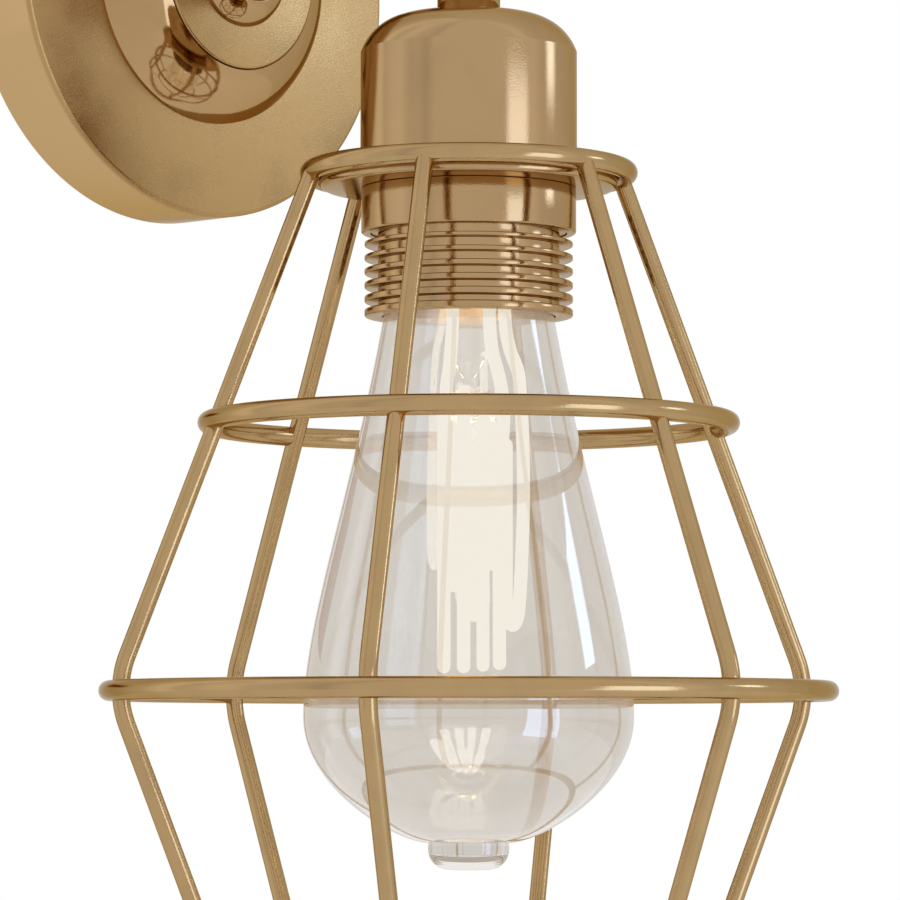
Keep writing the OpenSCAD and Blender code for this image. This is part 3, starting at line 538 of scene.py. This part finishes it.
def metal(name, colour, rough, cloud=60.0, cloudy=0.25, grain=3200.0, grain_depth=0.015,
          smudge=0.95, edge=(1, 1, 1), side=None):
    """Plated metal: cloudy polish, darker smudges and a fine grain. With side, a colour, a
    roughness and a depth, the metal nearer to the wall than that depth is polished."""
    material, tree, shader = new_material(name)
    place = object_place(tree)
    clouds = noise(tree, place, cloud, 4)
    grains = noise(tree, place, grain, 2, 0.6)
    tint = blend_colour(
        tree, ramp(tree, clouds, 0.36, 0.56, 0, 1), shade(colour, smudge), shade(colour, 1.02))
    patchy = ramp(tree, clouds, 0.35, 0.65, rough * (1 - cloudy), rough * (1 + cloudy))
    speck = ramp(tree, grains, 0.3, 0.75, -0.25 * rough, 0.35 * rough)
    total = add(tree, "Math", {0: patchy, 1: speck}, operation="ADD").outputs[0]
    if side:
        side_colour, side_rough, depth = side
        out = add(tree, "SeparateXYZ", {"Vector": place}).outputs["Y"]
        share = ramp(tree, out, depth - 0.4 * MM, depth + 0.4 * MM, 0, 1)
        tint = blend_colour(tree, share, tint, shade(side_colour, 1))
        total = add(tree, "Mix", {"Factor": share, "A": total, "B": side_rough}).outputs[0]
    bump = add(tree, "Bump", {
        "Height": grains, "Distance": grain_depth * MM, "Strength": 1.0})
    feed(tree, shader, {
        "Base Color": tint, "Roughness": total, "Normal": bump.outputs["Normal"],
        "Metallic": 1, "Specular Tint": (*edge, 1)})
    return material


def matt(name, colour, rough):
    """Moulded or fired surface: faint mottling and a soft grain."""
    material, tree, shader = new_material(name)
    place = object_place(tree)
    patches = noise(tree, place, 90.0, 3)
    tint = blend_colour(
        tree, ramp(tree, patches, 0.3, 0.7, 0, 1), shade(colour, 0.92), shade(colour, 1.04))
    bump = add(tree, "Bump", {
        "Height": noise(tree, place, 900.0, 2), "Distance": 0.02 * MM, "Strength": 0.6})
    feed(tree, shader, {
        "Base Color": tint, "Normal": bump.outputs["Normal"],
        "Roughness": ramp(tree, patches, 0.3, 0.7, rough * 0.85, rough * 1.15)})
    return material


def clear_glass(name, tint, painted_glow, index=2.1):
    """Blown glass with a painted glow at each surface, standing in for light scattered in the lit
    glass; it lets shadow rays through.
    """
    material, tree, shader = new_material(name)
    seed = noise(tree, object_place(tree), 25.0, 2)
    waves = add(tree, "Bump", {"Height": seed, "Distance": 0.05 * MM, "Strength": 0.3})
    # The emission colour is painted glow, standing in for light scattered in the lit glass.
    feed(tree, shader, {
        "Transmission Weight": 1, "IOR": index, "Roughness": 0, "Emission Strength": 1,
        "Base Color": blend_colour(tree, seed, shade(tint, 0.995), shade(tint, 1.005)),
        "Emission Color": blend_colour(tree, seed, shade(painted_glow, 0.99), shade(painted_glow, 1.01)),
        "Normal": waves.outputs["Normal"]})
    clear = add(tree, "BsdfTransparent", {"Color": shade(tint, 1)})
    show_instead(tree, add(tree, "LightPath").outputs["Is Shadow Ray"], shader, clear)
    return material


# Strength of the strands' mirror image in the bulb's glass
MIRRORED_GLOW = 3.5


def glowing(name, colour, strength):
    """Glowing strand; its mirror image in the bulb's glass is brighter, as from a hot wire."""
    material, tree, shader = new_material(name)
    heat = noise(tree, object_place(tree), 300.0, 2)
    only_glow(
        tree, shader, blend_colour(tree, heat, shade(colour, 0.985), shade(colour, 1.0)), strength)
    shader.inputs["Roughness"].default_value = 0.9
    bright = add(tree, "Emission", {"Color": shade(colour, 1), "Strength": MIRRORED_GLOW})
    # A ray through glass counts as glossy too, so it is taken off
    path = add(tree, "LightPath")
    in_mirror = add(tree, "Math", {
        0: path.outputs["Is Glossy Ray"], 1: path.outputs["Is Transmission Ray"]},
        operation="SUBTRACT", use_clamp=True)
    show_instead(tree, in_mirror.outputs[0], shader, bright)
    return material


def finish_of(finish):
    """The material of one finish, made when it is first asked for."""
    name = "finish_" + finish
    found = bpy.data.materials.get(name)
    if found:
        return found
    look = settings("finish")
    makers = {
        "satin_gold": lambda: metal(
            name, look.satin_gold, look.satin, cloud=45.0, cloudy=0.3, smudge=0.84, edge=EDGE,
            side=(look.side_gold, look.plated, low("wall_plate").y + 1 * MM)),
        "plated_gold": lambda: metal(name, look.gold, look.plated, edge=EDGE),
        "polished_gold": lambda: metal(
            name, look.polish, look.bright, grain_depth=0.004, edge=EDGE),
        "cage_gold": lambda: metal(name, look.wire, look.plated, cloud=120.0, edge=EDGE),
        "zinc_steel": lambda: metal(name, srgb(196, 199, 203), 0.34, 90.0, 0.35),
        "bare_brass": lambda: metal(name, srgb(206, 168, 96), 0.28, 90.0, 0.3),
        "cap_metal": lambda: metal(name, srgb(205, 205, 204), 0.3, 150.0, 0.3),
        "support_wire": lambda: metal(name, srgb(224, 216, 204), 0.4, 200.0, 0.2),
        "porcelain": lambda: matt(name, srgb(238, 234, 226), 0.22),
        "white_plastic": lambda: matt(name, srgb(232, 231, 226), 0.45),
        "brown_lead": lambda: matt(name, srgb(104, 62, 34), 0.5),
        "blue_lead": lambda: matt(name, srgb(58, 100, 160), 0.5),
        "green_lead": lambda: matt(name, srgb(120, 160, 44), 0.5),
        "black_glass": lambda: matt(name, srgb(22, 22, 24), 0.12),
        "clear_glass": lambda: clear_glass(name, look.tint, look.painted_glow),
        # The stem's glass gets a fainter painted glow too.
        "stem_glass": lambda: clear_glass(name, (1, 1, 1), (0.02, 0.02, 0.018), 1.12),
        "glowing_filament": lambda: glowing(name, look.glow, look.glow_strength),
    }
    return makers[finish]()


# ---- Wall plate, hub and arm ----

class CAGELIGHT_OT_wall_plate(bpy.types.Operator):
    """Model the pressed wall plate with its rounded front edge"""
    bl_idname = "cagelight.wall_plate"
    bl_label = "Wall plate"

    def execute(self, context):
        size = settings("body")
        radius = high("wall_plate").x
        depth = -low("wall_plate").y
        hole = high("wall_nipple").x
        wall = size.plate_wall
        outline = rounded([
            (radius - wall, 0, 0), (radius, 0, 0), (radius, depth, size.plate_edge),
            (hole, depth, 0), (hole, depth - wall, 0),
            (radius - wall, depth - wall, wall / 2), (radius - wall, 0, 0)])
        plate = turned("wall_plate_shell", outline, WALL_TURN, 192)
        fit(plate, "fixture", "satin_gold", "wall_plate")
        return {"FINISHED"}


class CAGELIGHT_OT_hub(bpy.types.Operator):
    """Model the hub: the domed base, the satin disc let into it and the boss round the arm"""
    bl_idname = "cagelight.hub"
    bl_label = "Hub"

    def execute(self, context):
        size = settings("body")
        face = -high("hub_dome").y
        radius = high("hub_dome").x
        disc_r = high("hub_disc").x
        disc_low = -high("hub_disc").y
        disc_top = -low("hub_disc").y
        hole = high("wall_nipple").x
        edge = Vector((radius - size.hub_slant, face + size.hub_side))
        rim = Vector((disc_r + 0.3 * MM, disc_top - 0.5 * MM))
        side = rounded([
            (hole, face, 0), (radius, face, 0), (radius, face + 0.5 * MM, 0.3 * MM), (*edge, 0)])
        outline = side[:-1] + bowed(edge, rim, size.hub_arc, 18) + [
            Vector((disc_r + 0.05 * MM, disc_top - 0.8 * MM)),
            Vector((disc_r + 0.05 * MM, disc_low)), Vector((hole, disc_low)),
            Vector((hole, face))]
        dome = turned("hub_dome_shell", outline, WALL_TURN, 160)
        fit(dome, "fixture", "polished_gold", "hub_dome")
        disc = turned("hub_satin_disc", rounded([
            (hole, disc_low, 0), (disc_r, disc_low, 0), (disc_r, disc_top, 0.4 * MM),
            (hole, disc_top, 0), (hole, disc_low, 0)]), WALL_TURN, 160)
        fit(disc, "fixture", "satin_gold", "hub_disc")
        boss_r = high("hub_boss").x
        boss_top = -low("hub_boss").y
        foot = Vector((boss_r - 0.16 * MM, disc_top + 0.4 * MM))
        lip = Vector((TUBE_R + 0.85 * MM, boss_top))
        bow = (lip - foot).length * 1.25
        outline = [Vector((foot.x, disc_top))] + bowed(foot, lip, bow, 14) + [
            Vector((TUBE_R + 0.4 * MM, boss_top - 0.06 * MM)),
            Vector((TUBE_R + 0.05 * MM, boss_top - 0.25 * MM)),
            Vector((TUBE_R + 0.05 * MM, disc_top)), Vector((foot.x, disc_top))]
        boss = turned("hub_boss_shell", outline, WALL_TURN, 128)
        fit(boss, "fixture", "polished_gold", "hub_boss")
        return {"FINISHED"}


class CAGELIGHT_OT_arm(bpy.types.Operator):
    """Bend the arm tube from the hub down to the cup"""
    bl_idname = "cagelight.arm"
    bl_label = "Arm"

    def execute(self, context):
        size = settings("body")
        bend = size.arm_bend
        start = high("arm_tube").y
        turns = [
            Vector((0, LAMP_Y + bend - bend * math.sin(a), -bend + bend * math.cos(a)))
            for a in (math.pi / 2 * i / 24 for i in range(25))
        ]
        line = [Vector((0, start, 0))] + turns + [Vector((0, LAMP_Y, CUP_TOP))]
        arm = swept("arm_tube_shell", [line], TUBE_R - 0.03 * MM, 64, caps=False)
        apply_modifier(arm, "SOLIDIFY", thickness=1.2 * MM, offset=-1)
        fit(arm, "fixture", "plated_gold", "arm_tube")
        return {"FINISHED"}


# ---- Cup, holder and retaining ring ----

class CAGELIGHT_OT_cup(bpy.types.Operator):
    """Spin the lamp cup with its domed shoulder"""
    bl_idname = "cagelight.cup"
    bl_label = "Cup"

    def execute(self, context):
        size = settings("body")
        radius = high("cup").x
        hole = high("cup_nipple").x
        centre = (radius - size.cup_arc * math.sin(size.cup_slope), CUP_TOP - size.cup_arc)

        def shoulder(inset):
            bow = size.cup_arc - inset
            start = math.acos((radius - inset - centre[0]) / bow)
            return arc(centre, bow, start, math.pi / 2, 22)

        outer = shoulder(0)
        inner = shoulder(size.cup_wall)
        rim = rounded([
            (radius - size.cup_wall, CUP_RIM + 2 * MM, 0), (radius - size.cup_wall, CUP_RIM, 0),
            (radius, CUP_RIM, 0.3 * MM), (*outer[0], 0.35 * MM), (*outer[1], 0)])
        outline = rim[:-1] + outer[1:] + [
            Vector((hole, CUP_TOP)), Vector((hole, CUP_TOP - size.cup_wall))] + inner[::-1]
        outline.append(rim[0])
        cup = turned("lamp_cup", outline, LAMP_TURN, 192)
        fit(cup, "fixture", "plated_gold", "cup")
        return {"FINISHED"}


class CAGELIGHT_OT_holder(bpy.types.Operator):
    """Turn the ribbed holder skirt and the smooth retaining ring on it"""
    bl_idname = "cagelight.holder"
    bl_label = "Holder skirt and ring"

    def execute(self, context):
        size = settings("body")
        plain = size.skirt_d / 2
        bore = size.skirt_bore / 2
        groove = size.groove_d / 2
        rim = high("holder_skirt").x
        step = low("retaining_ring").z + 0.2 * MM
        seat = high("holder_body").z
        lip = 12.6 * MM
        corners = [(lip, SKIRT_TOP, 0), (plain, SKIRT_TOP, 0.3 * MM), (plain, step, 0.15 * MM)]
        for i in reversed(range(size.rib_count)):
            thick = size.rib_t + (size.rib_top_t - size.rib_t) * i / (size.rib_count - 1)
            base = SKIRT_LOW + i * size.rib_pitch
            corners += [
                (groove, step if i == size.rib_count - 1 else base + size.rib_pitch, 0.12 * MM),
                (groove, base + thick, 0.12 * MM), (rim, base + thick, thick * 0.26),
                (rim, base, thick * 0.26)]
        corners += [
            (bore, SKIRT_LOW, 0.25 * MM), (bore, seat, 0), (lip, seat, 0), (lip, SKIRT_TOP, 0)]
        skirt = turned("ribbed_skirt", rounded(corners, 4), LAMP_TURN, 160)
        fit(skirt, "fixture", "plated_gold", "holder_skirt")
        ring_low, ring_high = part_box("retaining_ring")
        inner = plain + 0.12 * MM
        ring = turned("smooth_retaining_ring", rounded([
            (inner, ring_low.z, 0), (ring_high.x, ring_low.z, 0.5 * MM),
            (ring_high.x, ring_high.z, 0.25 * MM), (inner, ring_high.z, 0),
            (inner, ring_low.z, 0)]), LAMP_TURN, 160)
        fit(ring, "retaining_ring", "plated_gold", "retaining_ring")
        return {"FINISHED"}


# ---- Cage ----

def ring_line(node):
    """Radius and height of a cage ring's centreline, and the radius of its wire."""
    lowest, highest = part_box(node)
    wire = (highest.z - lowest.z) / 2
    return highest.x - wire, (highest.z + lowest.z) / 2, wire


class CAGELIGHT_OT_cage_rings(bpy.types.Operator):
    """Bend the four cage rings and press the top plate inside the uppermost one"""
    bl_idname = "cagelight.cage_rings"
    bl_label = "Cage rings and top plate"

    def execute(self, context):
        size = settings("body")
        for part in ("top", "middle", "wide", "bottom"):
            node = "cage_ring_" + part
            radius, height, wire = ring_line(node)
            deselect()
            bpy.ops.mesh.primitive_torus_add(
                location=(0, LAMP_Y, height), major_radius=radius, minor_radius=wire,
                major_segments=180, minor_segments=20)
            ring = named(part + "_cage_ring")
            bpy.ops.object.transform_apply(location=True, rotation=True, scale=True)
            smooth(60)
            fit(ring, "cage", "cage_gold", node)
        plate_low, plate_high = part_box("cage_top_plate")
        bore = size.skirt_d / 2 + 0.3 * MM
        rim = plate_high.x
        wall = size.collar_t
        plate = turned("cage_top_plate_pressing", rounded([
            (bore, plate_low.z, 0), (rim, plate_low.z, 1 * MM), (rim, plate_high.z, 0.4 * MM),
            (rim - wall, plate_high.z, 0.4 * MM), (rim - wall, plate_low.z + wall, 0.6 * MM),
            (bore, plate_low.z + wall, 0), (bore, plate_low.z, 0)]), LAMP_TURN, 160)
        fit(plate, "cage", "plated_gold", "cage_top_plate")
        return {"FINISHED"}


class CAGELIGHT_OT_cage_wires(bpy.types.Operator):
    """Bend one cage wire and copy it round the lamp"""
    bl_idname = "cagelight.cage_wires"
    bl_label = "Cage wires"

    def wire_line(self, size):
        top = Vector(ring_line("cage_ring_top")[:2])
        knee = Vector(ring_line("cage_ring_wide")[:2])
        end = Vector(ring_line("cage_ring_bottom")[:2])
        bend = rounded([(*top, 0), (*knee, size.wire_bend), (*end, 0)], 16)
        upper = [top.lerp(bend[1], i / 12) for i in range(12)]
        lower = [bend[-2].lerp(end, i / 6) for i in range(1, 7)]
        return upper + bend[1:-1] + lower

    def execute(self, context):
        size = settings("cage")
        line = self.wire_line(size)
        for i in range(size.wire_count):
            angle = size.turn + math.radians(-90 + i * 360 / size.wire_count)
            way = Vector((math.cos(angle), math.sin(angle)))
            points = [
                Vector((way.x * p.x, way.y * p.x + LAMP_Y, p.y)) for p in line]
            wire = swept(f"cage_bar_{i + 1}", [points], size.wire_d / 2, 24)
            fit(wire, "cage", "cage_gold", f"cage_wire_{i + 1}")
        return {"FINISHED"}


# ---- Bulb ----

# Handles of the curves that shape the glass between neck, belly and pip
NECK_HANDLE = 39.9 * MM
BELLY_HANDLES = 19.4 * MM, 14.1 * MM
PIP_HANDLE = 6 * MM


class CAGELIGHT_OT_bulb_glass(bpy.types.Operator):
    """Blow the bulb's glass with its pip, and the stem inside it"""
    bl_idname = "cagelight.bulb_glass"
    bl_label = "Bulb glass"

    def execute(self, context):
        size = settings("bulb")
        belly_r = high("bulb_glass").x
        belly_z = BULB_LOW + size.belly_h
        pip_top = BULB_LOW + size.pip_h
        neck = Vector((size.neck_d / 2, CAP_LOW))
        flare = Vector((math.sin(size.neck_flare), -math.cos(size.neck_flare)))
        belly = Vector((belly_r, belly_z))
        base = Vector((size.pip_d / 2, pip_top))
        upper = bezier(
            neck, neck + flare * NECK_HANDLE, belly + Vector((0, BELLY_HANDLES[0])), belly, 34)
        lower = bezier(
            belly, belly - Vector((0, BELLY_HANDLES[1])), base + Vector((PIP_HANDLE, 0)), base, 30)
        side = upper + lower[1:]
        corner = size.pip_h * 0.75
        pip = arc((base.x - corner, BULB_LOW + corner), corner, 0, -math.pi / 2, 8)
        inner = []
        for i, point in enumerate(side):
            way = (side[min(i + 1, len(side) - 1)] - side[max(i - 1, 0)]).normalized()
            moved = point + Vector((way.y, -way.x)) * size.glass_t
            if moved.y > pip_top + 0.6 * MM:
                inner.append(moved)
        shoulder = CAP_R - 1.5 * MM
        collar = CAP_R - 2.6 * MM
        outline = [Vector((0, BULB_LOW))] + pip[::-1] + side[::-1] + [
            Vector((shoulder, CAP_LOW + 1 * MM)), Vector((collar, CAP_LOW + 1 * MM)),
            Vector((collar, CAP_LOW))] + inner + [Vector((0, inner[-1].y))]
        glass = turned("bulb_glass_shell", outline, LAMP_TURN, 192)
        fit(glass, "bulb", "clear_glass", "bulb_glass")
        return {"FINISHED"}


class CAGELIGHT_OT_bulb_cap(bpy.types.Operator):
    """Model the bulb's screw cap with its rolled thread, insulator and contact"""
    bl_idname = "cagelight.bulb_cap"
    bl_label = "Bulb cap"

    def execute(self, context):
        size = settings("bulb")
        top = high("bulb_cap").z
        root = CAP_R - 0.9 * MM
        shell = turned("cap_shell", rounded([
            (root - 0.5 * MM, CAP_LOW, 0), (root, CAP_LOW, 0.2 * MM),
            (CAP_R, CAP_LOW + 1 * MM, 0.3 * MM), (CAP_R, CAP_LOW + 2.6 * MM, 0.4 * MM),
            (root, CAP_LOW + 3.2 * MM, 0.3 * MM), (root, top, 0.8 * MM),
            (root - 1.5 * MM, top, 0), (root - 1.5 * MM, top - 0.5 * MM, 0),
            (root - 0.5 * MM, top - 0.5 * MM, 0.3 * MM), (root - 0.5 * MM, CAP_LOW, 0)]),
            LAMP_TURN, 96)
        ridge = 1.15 * MM
        turns = 4
        steps = 48
        start = CAP_LOW + 4.4 * MM
        helix = []
        for i in range(turns * steps + 1):
            angle = 2 * math.pi * i / steps
            helix.append(Vector((
                (CAP_R - ridge) * math.cos(angle), LAMP_Y + (CAP_R - ridge) * math.sin(angle),
                start + size.cap_pitch * i / steps)))
        thread = swept("cap_thread", [helix], ridge, 12)
        cap = join([shell, thread], "threaded_cap")
        fit(cap, "bulb", "cap_metal", "bulb_cap")
        return {"FINISHED"}


# Glowing strands as seen from the front left: each is a line of (across, towards the viewer,
# height over the bulb's bottom) points in millimetres
STRANDS = (
    ((-4.8, 4.2, 38.0), (-4.85, 4.2, 70), (-4.8, 3.8, 86), (-4.35, 3.4, 93.4), (-3.8, 3.0, 97.3),
     (-3.45, 2.6, 101.2), (-3.1, 2.2, 107), (-3.2, 2.0, 113)),
    ((-1.0, 6.2, 38.0), (-1.0, 6.2, 70), (-1.0, 5.8, 88), (-1.0, 5.4, 94)),
    ((2.75, 5.6, 38.3), (2.75, 5.6, 70), (2.9, 5.0, 88.6)),
    ((6.0, 2.0, 38.7), (6.0, 2.0, 62), (6.4, 2.0, 80), (6.8, 2.4, 88), (6.35, 2.8, 93.4),
     (5.5, 3.0, 97.3), (4.5, 3.0, 101.2), (4.0, 2.8, 107), (3.95, 2.6, 113)),
    ((-2.8, -5.6, 54.0), (-2.8, -5.6, 89)),
    ((1.0, -6.2, 48.2), (1.0, -6.2, 89)),
    ((4.4, -4.4, 58.2), (4.4, -4.4, 88)),
    ((7.35, -1.0, 84), (7.35, -0.8, 66), (7.35, -0.4, 53), (7.6, -0.2, 49.4), (8.5, 0.0, 47.4),
     (9.5, 0.0, 48.8), (10.0, 0.0, 53), (10.35, 0.0, 60), (10.7, 0.0, 70), (10.7, 0.0, 79),
     (10.4, 0.0, 88), (10.1, 0.1, 93.4), (9.6, 0.3, 97.3), (8.1, 0.6, 101.2), (7.3, 0.8, 105),
     (7.0, 1.0, 109), (6.9, 1.0, 113)),
)


class CAGELIGHT_OT_filament(bpy.types.Operator):
    """Hang the glowing strands round the stem"""
    bl_idname = "cagelight.filament"
    bl_label = "Glowing strands"

    def execute(self, context):
        size = settings("bulb")
        heading = settings("studio").camera_heading
        across = Vector((math.cos(heading), math.sin(heading), 0))
        towards = Vector((math.sin(heading), -math.cos(heading), 0))
        base = Vector((0, LAMP_Y, BULB_LOW))
        lines = [
            curve_through([
                base + across * u * MM + towards * v * MM + Vector((0, 0, w * MM))
                for u, v, w in strand
            ])
            for strand in STRANDS
        ]
        strands = swept("glowing_strands", lines, size.strand_d / 2, 16, tips=5)
        fit(strands, "bulb", "glowing_filament", "bulb_filament")
        return {"FINISHED"}


# ---- Fittings that keep the frame's own shape ----

FITTINGS = {
    "zinc_steel": ("wall_bracket", "bracket_nuts", "wall_washer", "wall_nut", "cup_nuts",
                   "holder_yoke", "holder_screws"),
    "bare_brass": ("earth_screw", "terminal_clamps", "wall_nipple", "cup_nipple", "earth_tag",
                   "holder_shell", "holder_contact", "holder_terminals"),
    "plated_gold": ("side_screws",),
    "porcelain": ("terminal_block", "holder_body"),
    "white_plastic": ("wire_bush",),
    "brown_lead": ("lead_live",),
    "blue_lead": ("lead_neutral",),
    "green_lead": ("lead_earth",),
    "black_glass": ("bulb_insulator",),
    "cap_metal": ("bulb_tip",),
    "support_wire": ("bulb_supports",),
    "stem_glass": ("bulb_stem",),
}


class CAGELIGHT_OT_fittings(bpy.types.Operator):
    """Give the inner fittings their finishes"""
    bl_idname = "cagelight.fittings"
    bl_label = "Fittings"

    def execute(self, context):
        for finish, nodes in FITTINGS.items():
            for node in nodes:
                dress(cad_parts[node], finish)
        return {"FINISHED"}


# ---- Studio ----

# Brightness of the surroundings in reflections, by compass bearing from +X in degrees: panels
# and gaps between them, and the dark side behind the light. A single number is a grey.
PANELS = (
    (0, 0.88), (60, (0.9, 0.88, 0.85)), (82, (0.8, 0.76, 0.72)), (104, 0.95), (110, 1.2),
    (118, 1.2), (123, 0.9), (131, 1.04), (147, 1.13), (158, 0.92), (171, 0.93), (177, 0.8),
    (181, 0.82), (186, 0.98), (210, 1), (290, 1), (293, 1.15), (300, 1.1), (307, 0.94),
    (316, 0.94), (325, 0.9), (360, 0.88),
)
PANEL_TOP = 1.4
SOFT_BOX_COLOUR = (0.76, 1.0, 1.5)
STAND_OFF = 1.5
FLOOR_GLOW = 0.58


def panels(tree):
    """Colour of the surroundings by compass bearing, as a share of PANEL_TOP."""
    way = add(tree, "SeparateXYZ", {"Vector": add(tree, "TexCoord").outputs["Generated"]})
    bearing = add(tree, "Math", {0: way.outputs["Y"], 1: way.outputs["X"]}, operation="ARCTAN2")
    turned_round = add(tree, "Math", {
        0: ramp(tree, bearing.outputs[0], -math.pi, math.pi, -0.5, 0.5)}, operation="FRACT")
    levels = add(tree, "ValToRGB", {"Fac": turned_round.outputs[0]})
    stops = levels.color_ramp.elements
    stops.remove(stops[1])
    for degrees, level in PANELS:
        colour = level if isinstance(level, tuple) else (level,) * 3
        stop = stops.new(degrees / 360) if degrees else stops[0]
        stop.color = (*(c / PANEL_TOP for c in colour), 1)
    return levels.outputs["Color"]


def way_at(bearing, rise):
    """Direction at a compass bearing from +X in degrees, with its rise."""
    angle = math.radians(bearing)
    return Vector((math.cos(angle), math.sin(angle), rise))


def seen_share(tree, studio, straight, other, mirrored=1):
    """Strength of a surface as seen straight, in reflections, through glass and by other rays."""
    path = add(tree, "LightPath")
    share = ramp(
        tree, path.outputs["Is Glossy Ray"], 0, 1, other, straight * studio.mirrored * mirrored)
    for ray, strength in (
            ("Is Transmission Ray", straight * studio.behind_glass), ("Is Camera Ray", straight)):
        mixed = add(tree, "Mix", {"Factor": path.outputs[ray], "A": share, "B": strength})
        share = mixed.outputs[0]
    return share


class CAGELIGHT_OT_studio(bpy.types.Operator):
    """Set up the floor, the white surroundings, the soft boxes and the camera"""
    bl_idname = "cagelight.studio"
    bl_label = "Studio"

    def soft_box(self, name, bearing, rise, width, height, radiance):
        """A bluish soft box at a compass bearing from +X, facing the lamp."""
        centre = Vector((0, LAMP_Y, (CUP_RIM + BULB_LOW) / 2))
        way = way_at(bearing, rise)
        deselect()
        bpy.ops.object.light_add(type="AREA", location=centre + way * STAND_OFF)
        box = bpy.context.object
        box.name = name
        box.rotation_euler = (-way).to_track_quat("-Z", "Y").to_euler()
        box.data.shape = "RECTANGLE"
        box.data.size = width
        box.data.size_y = height
        box.data.color = SOFT_BOX_COLOUR
        box.data.energy = radiance * math.pi * width * height
        box.visible_camera = False

    def brown_reflection_card(self, bearing, rise, width, height):
        """A card behind the wall that glows dark brown and is seen only in reflections: a painted
        dark-brown reflection in the left edges of the metal.
        """
        way = way_at(bearing, rise)
        deselect()
        bpy.ops.mesh.primitive_plane_add(
            size=1, location=Vector((0, LAMP_Y, CUP_RIM)) + way * STAND_OFF,
            rotation=way.to_track_quat("Z", "Y").to_euler())
        card = named("brown_reflection_card")
        card.scale = (width, height, 1)
        bpy.ops.object.transform_apply(location=False, rotation=False, scale=True)
        material, tree, shader = new_material("brown_reflection_card")
        patches = noise(tree, object_place(tree), 3.0)
        # Painted reflection: the card glows brown so that the metal's left edges show a dark-brown
        # reflection.
        only_glow(tree, shader, blend_colour(
            tree, patches, (0.3, 0.1, 0.04, 1), (0.34, 0.12, 0.05, 1)), 0.7)
        card.data.materials.append(material)
        for ray in ("camera", "diffuse", "transmission", "shadow"):
            setattr(card, "visible_" + ray, False)

    def execute(self, context):
        studio = settings("studio")
        scene = context.scene
        scene.view_settings.view_transform = "Standard"
        world = bpy.data.worlds.new("white_surroundings")
        scene.world = world
        world.use_nodes = True
        tree = world.node_tree
        back = tree.nodes["Background"]
        is_glossy = add(tree, "LightPath").outputs["Is Glossy Ray"]
        feed(tree, back, {
            "Color": blend_colour(tree, is_glossy, (1, 1, 1, 1), panels(tree)),
            "Strength": seen_share(tree, studio, 1, studio.ambient, PANEL_TOP)})
        deselect()
        bpy.ops.mesh.primitive_plane_add(size=4, location=(0, LAMP_Y, studio.floor_z))
        floor = named("studio_floor")
        material, tree, shader = new_material("pale_floor")
        patches = noise(tree, object_place(tree), 3.0)
        feed(tree, shader, {
            "Base Color": blend_colour(tree, patches, (0.9, 0.9, 0.9, 1), (0.92, 0.92, 0.92, 1)),
            "Roughness": 0.9, "Emission Color": (1, 1, 1, 1),
            "Emission Strength": seen_share(tree, studio, FLOOR_GLOW, 0)})
        floor.data.materials.append(material)
        self.soft_box("main_soft_box", 277.1, -0.32, width=0.71, height=1.7, radiance=1.18)
        self.soft_box("high_right_box", 321, 0.27, width=0.3, height=0.3, radiance=1.9)
        # Glowing card that paints a dark-brown reflection into the metal's left edges.
        self.brown_reflection_card(83, 0.13, width=0.5, height=0.2)
        deselect()
        bpy.ops.object.light_add(type="POINT", location=(0, LAMP_Y, SKIRT_LOW + 4 * MM))
        glow = context.object
        glow.name = "bulb_light"
        glow.data.color = (1, 0.75, 0.3)
        glow.data.shadow_soft_size = 6 * MM
        glow.data.energy = 0.22
        glow.visible_camera = False
        glow.visible_transmission = False
        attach(glow, "bulb")
        deselect()
        bpy.ops.object.camera_add(
            location=studio.camera_place,
            rotation=(
                math.pi / 2 + studio.camera_rise, studio.camera_roll, studio.camera_heading))
        camera = context.object
        camera.name = "camera"
        camera.data.lens = studio.lens
        camera.data.sensor_width = 36
        scene.camera = camera
        return {"FINISHED"}


PIECE_OPERATORS = (
    CAGELIGHT_OT_wall_plate,
    CAGELIGHT_OT_hub,
    CAGELIGHT_OT_arm,
    CAGELIGHT_OT_cup,
    CAGELIGHT_OT_holder,
    CAGELIGHT_OT_cage_rings,
    CAGELIGHT_OT_cage_wires,
    CAGELIGHT_OT_bulb_glass,
    CAGELIGHT_OT_bulb_cap,
    CAGELIGHT_OT_filament,
    CAGELIGHT_OT_fittings,
    CAGELIGHT_OT_studio,
)


class CAGELIGHT_PT_pieces(bpy.types.Panel):
    """Lists the light's pieces in the 3D view's sidebar"""
    bl_idname = "CAGELIGHT_PT_pieces"
    bl_label = "Cage wall light"
    bl_space_type = "VIEW_3D"
    bl_region_type = "UI"
    bl_category = "Cage light"

    def draw(self, context):
        for operator in PIECE_OPERATORS:
            self.layout.operator(operator.bl_idname)
        for name in SETTINGS:
            group = getattr(context.scene, name)
            box = self.layout.box()
            box.label(text=name.split("_")[-1].title())
            for key in group.__annotations__:
                box.prop(group, key)


def register():
    for group in SETTINGS.values():
        bpy.utils.register_class(group)
    for name, group in SETTINGS.items():
        setattr(bpy.types.Scene, name, PointerProperty(type=group))
    for operator in PIECE_OPERATORS:
        bpy.utils.register_class(operator)
    bpy.utils.register_class(CAGELIGHT_PT_pieces)


def unregister():
    bpy.utils.unregister_class(CAGELIGHT_PT_pieces)
    for operator in reversed(PIECE_OPERATORS):
        bpy.utils.unregister_class(operator)
    for name in SETTINGS:
        delattr(bpy.types.Scene, name)
    for group in reversed(SETTINGS.values()):
        bpy.utils.unregister_class(group)


def main():
    register()
    for operator in PIECE_OPERATORS:
        group, name = operator.bl_idname.split(".")
        getattr(getattr(bpy.ops, group), name)()


if __name__ == "__main__":
    main()
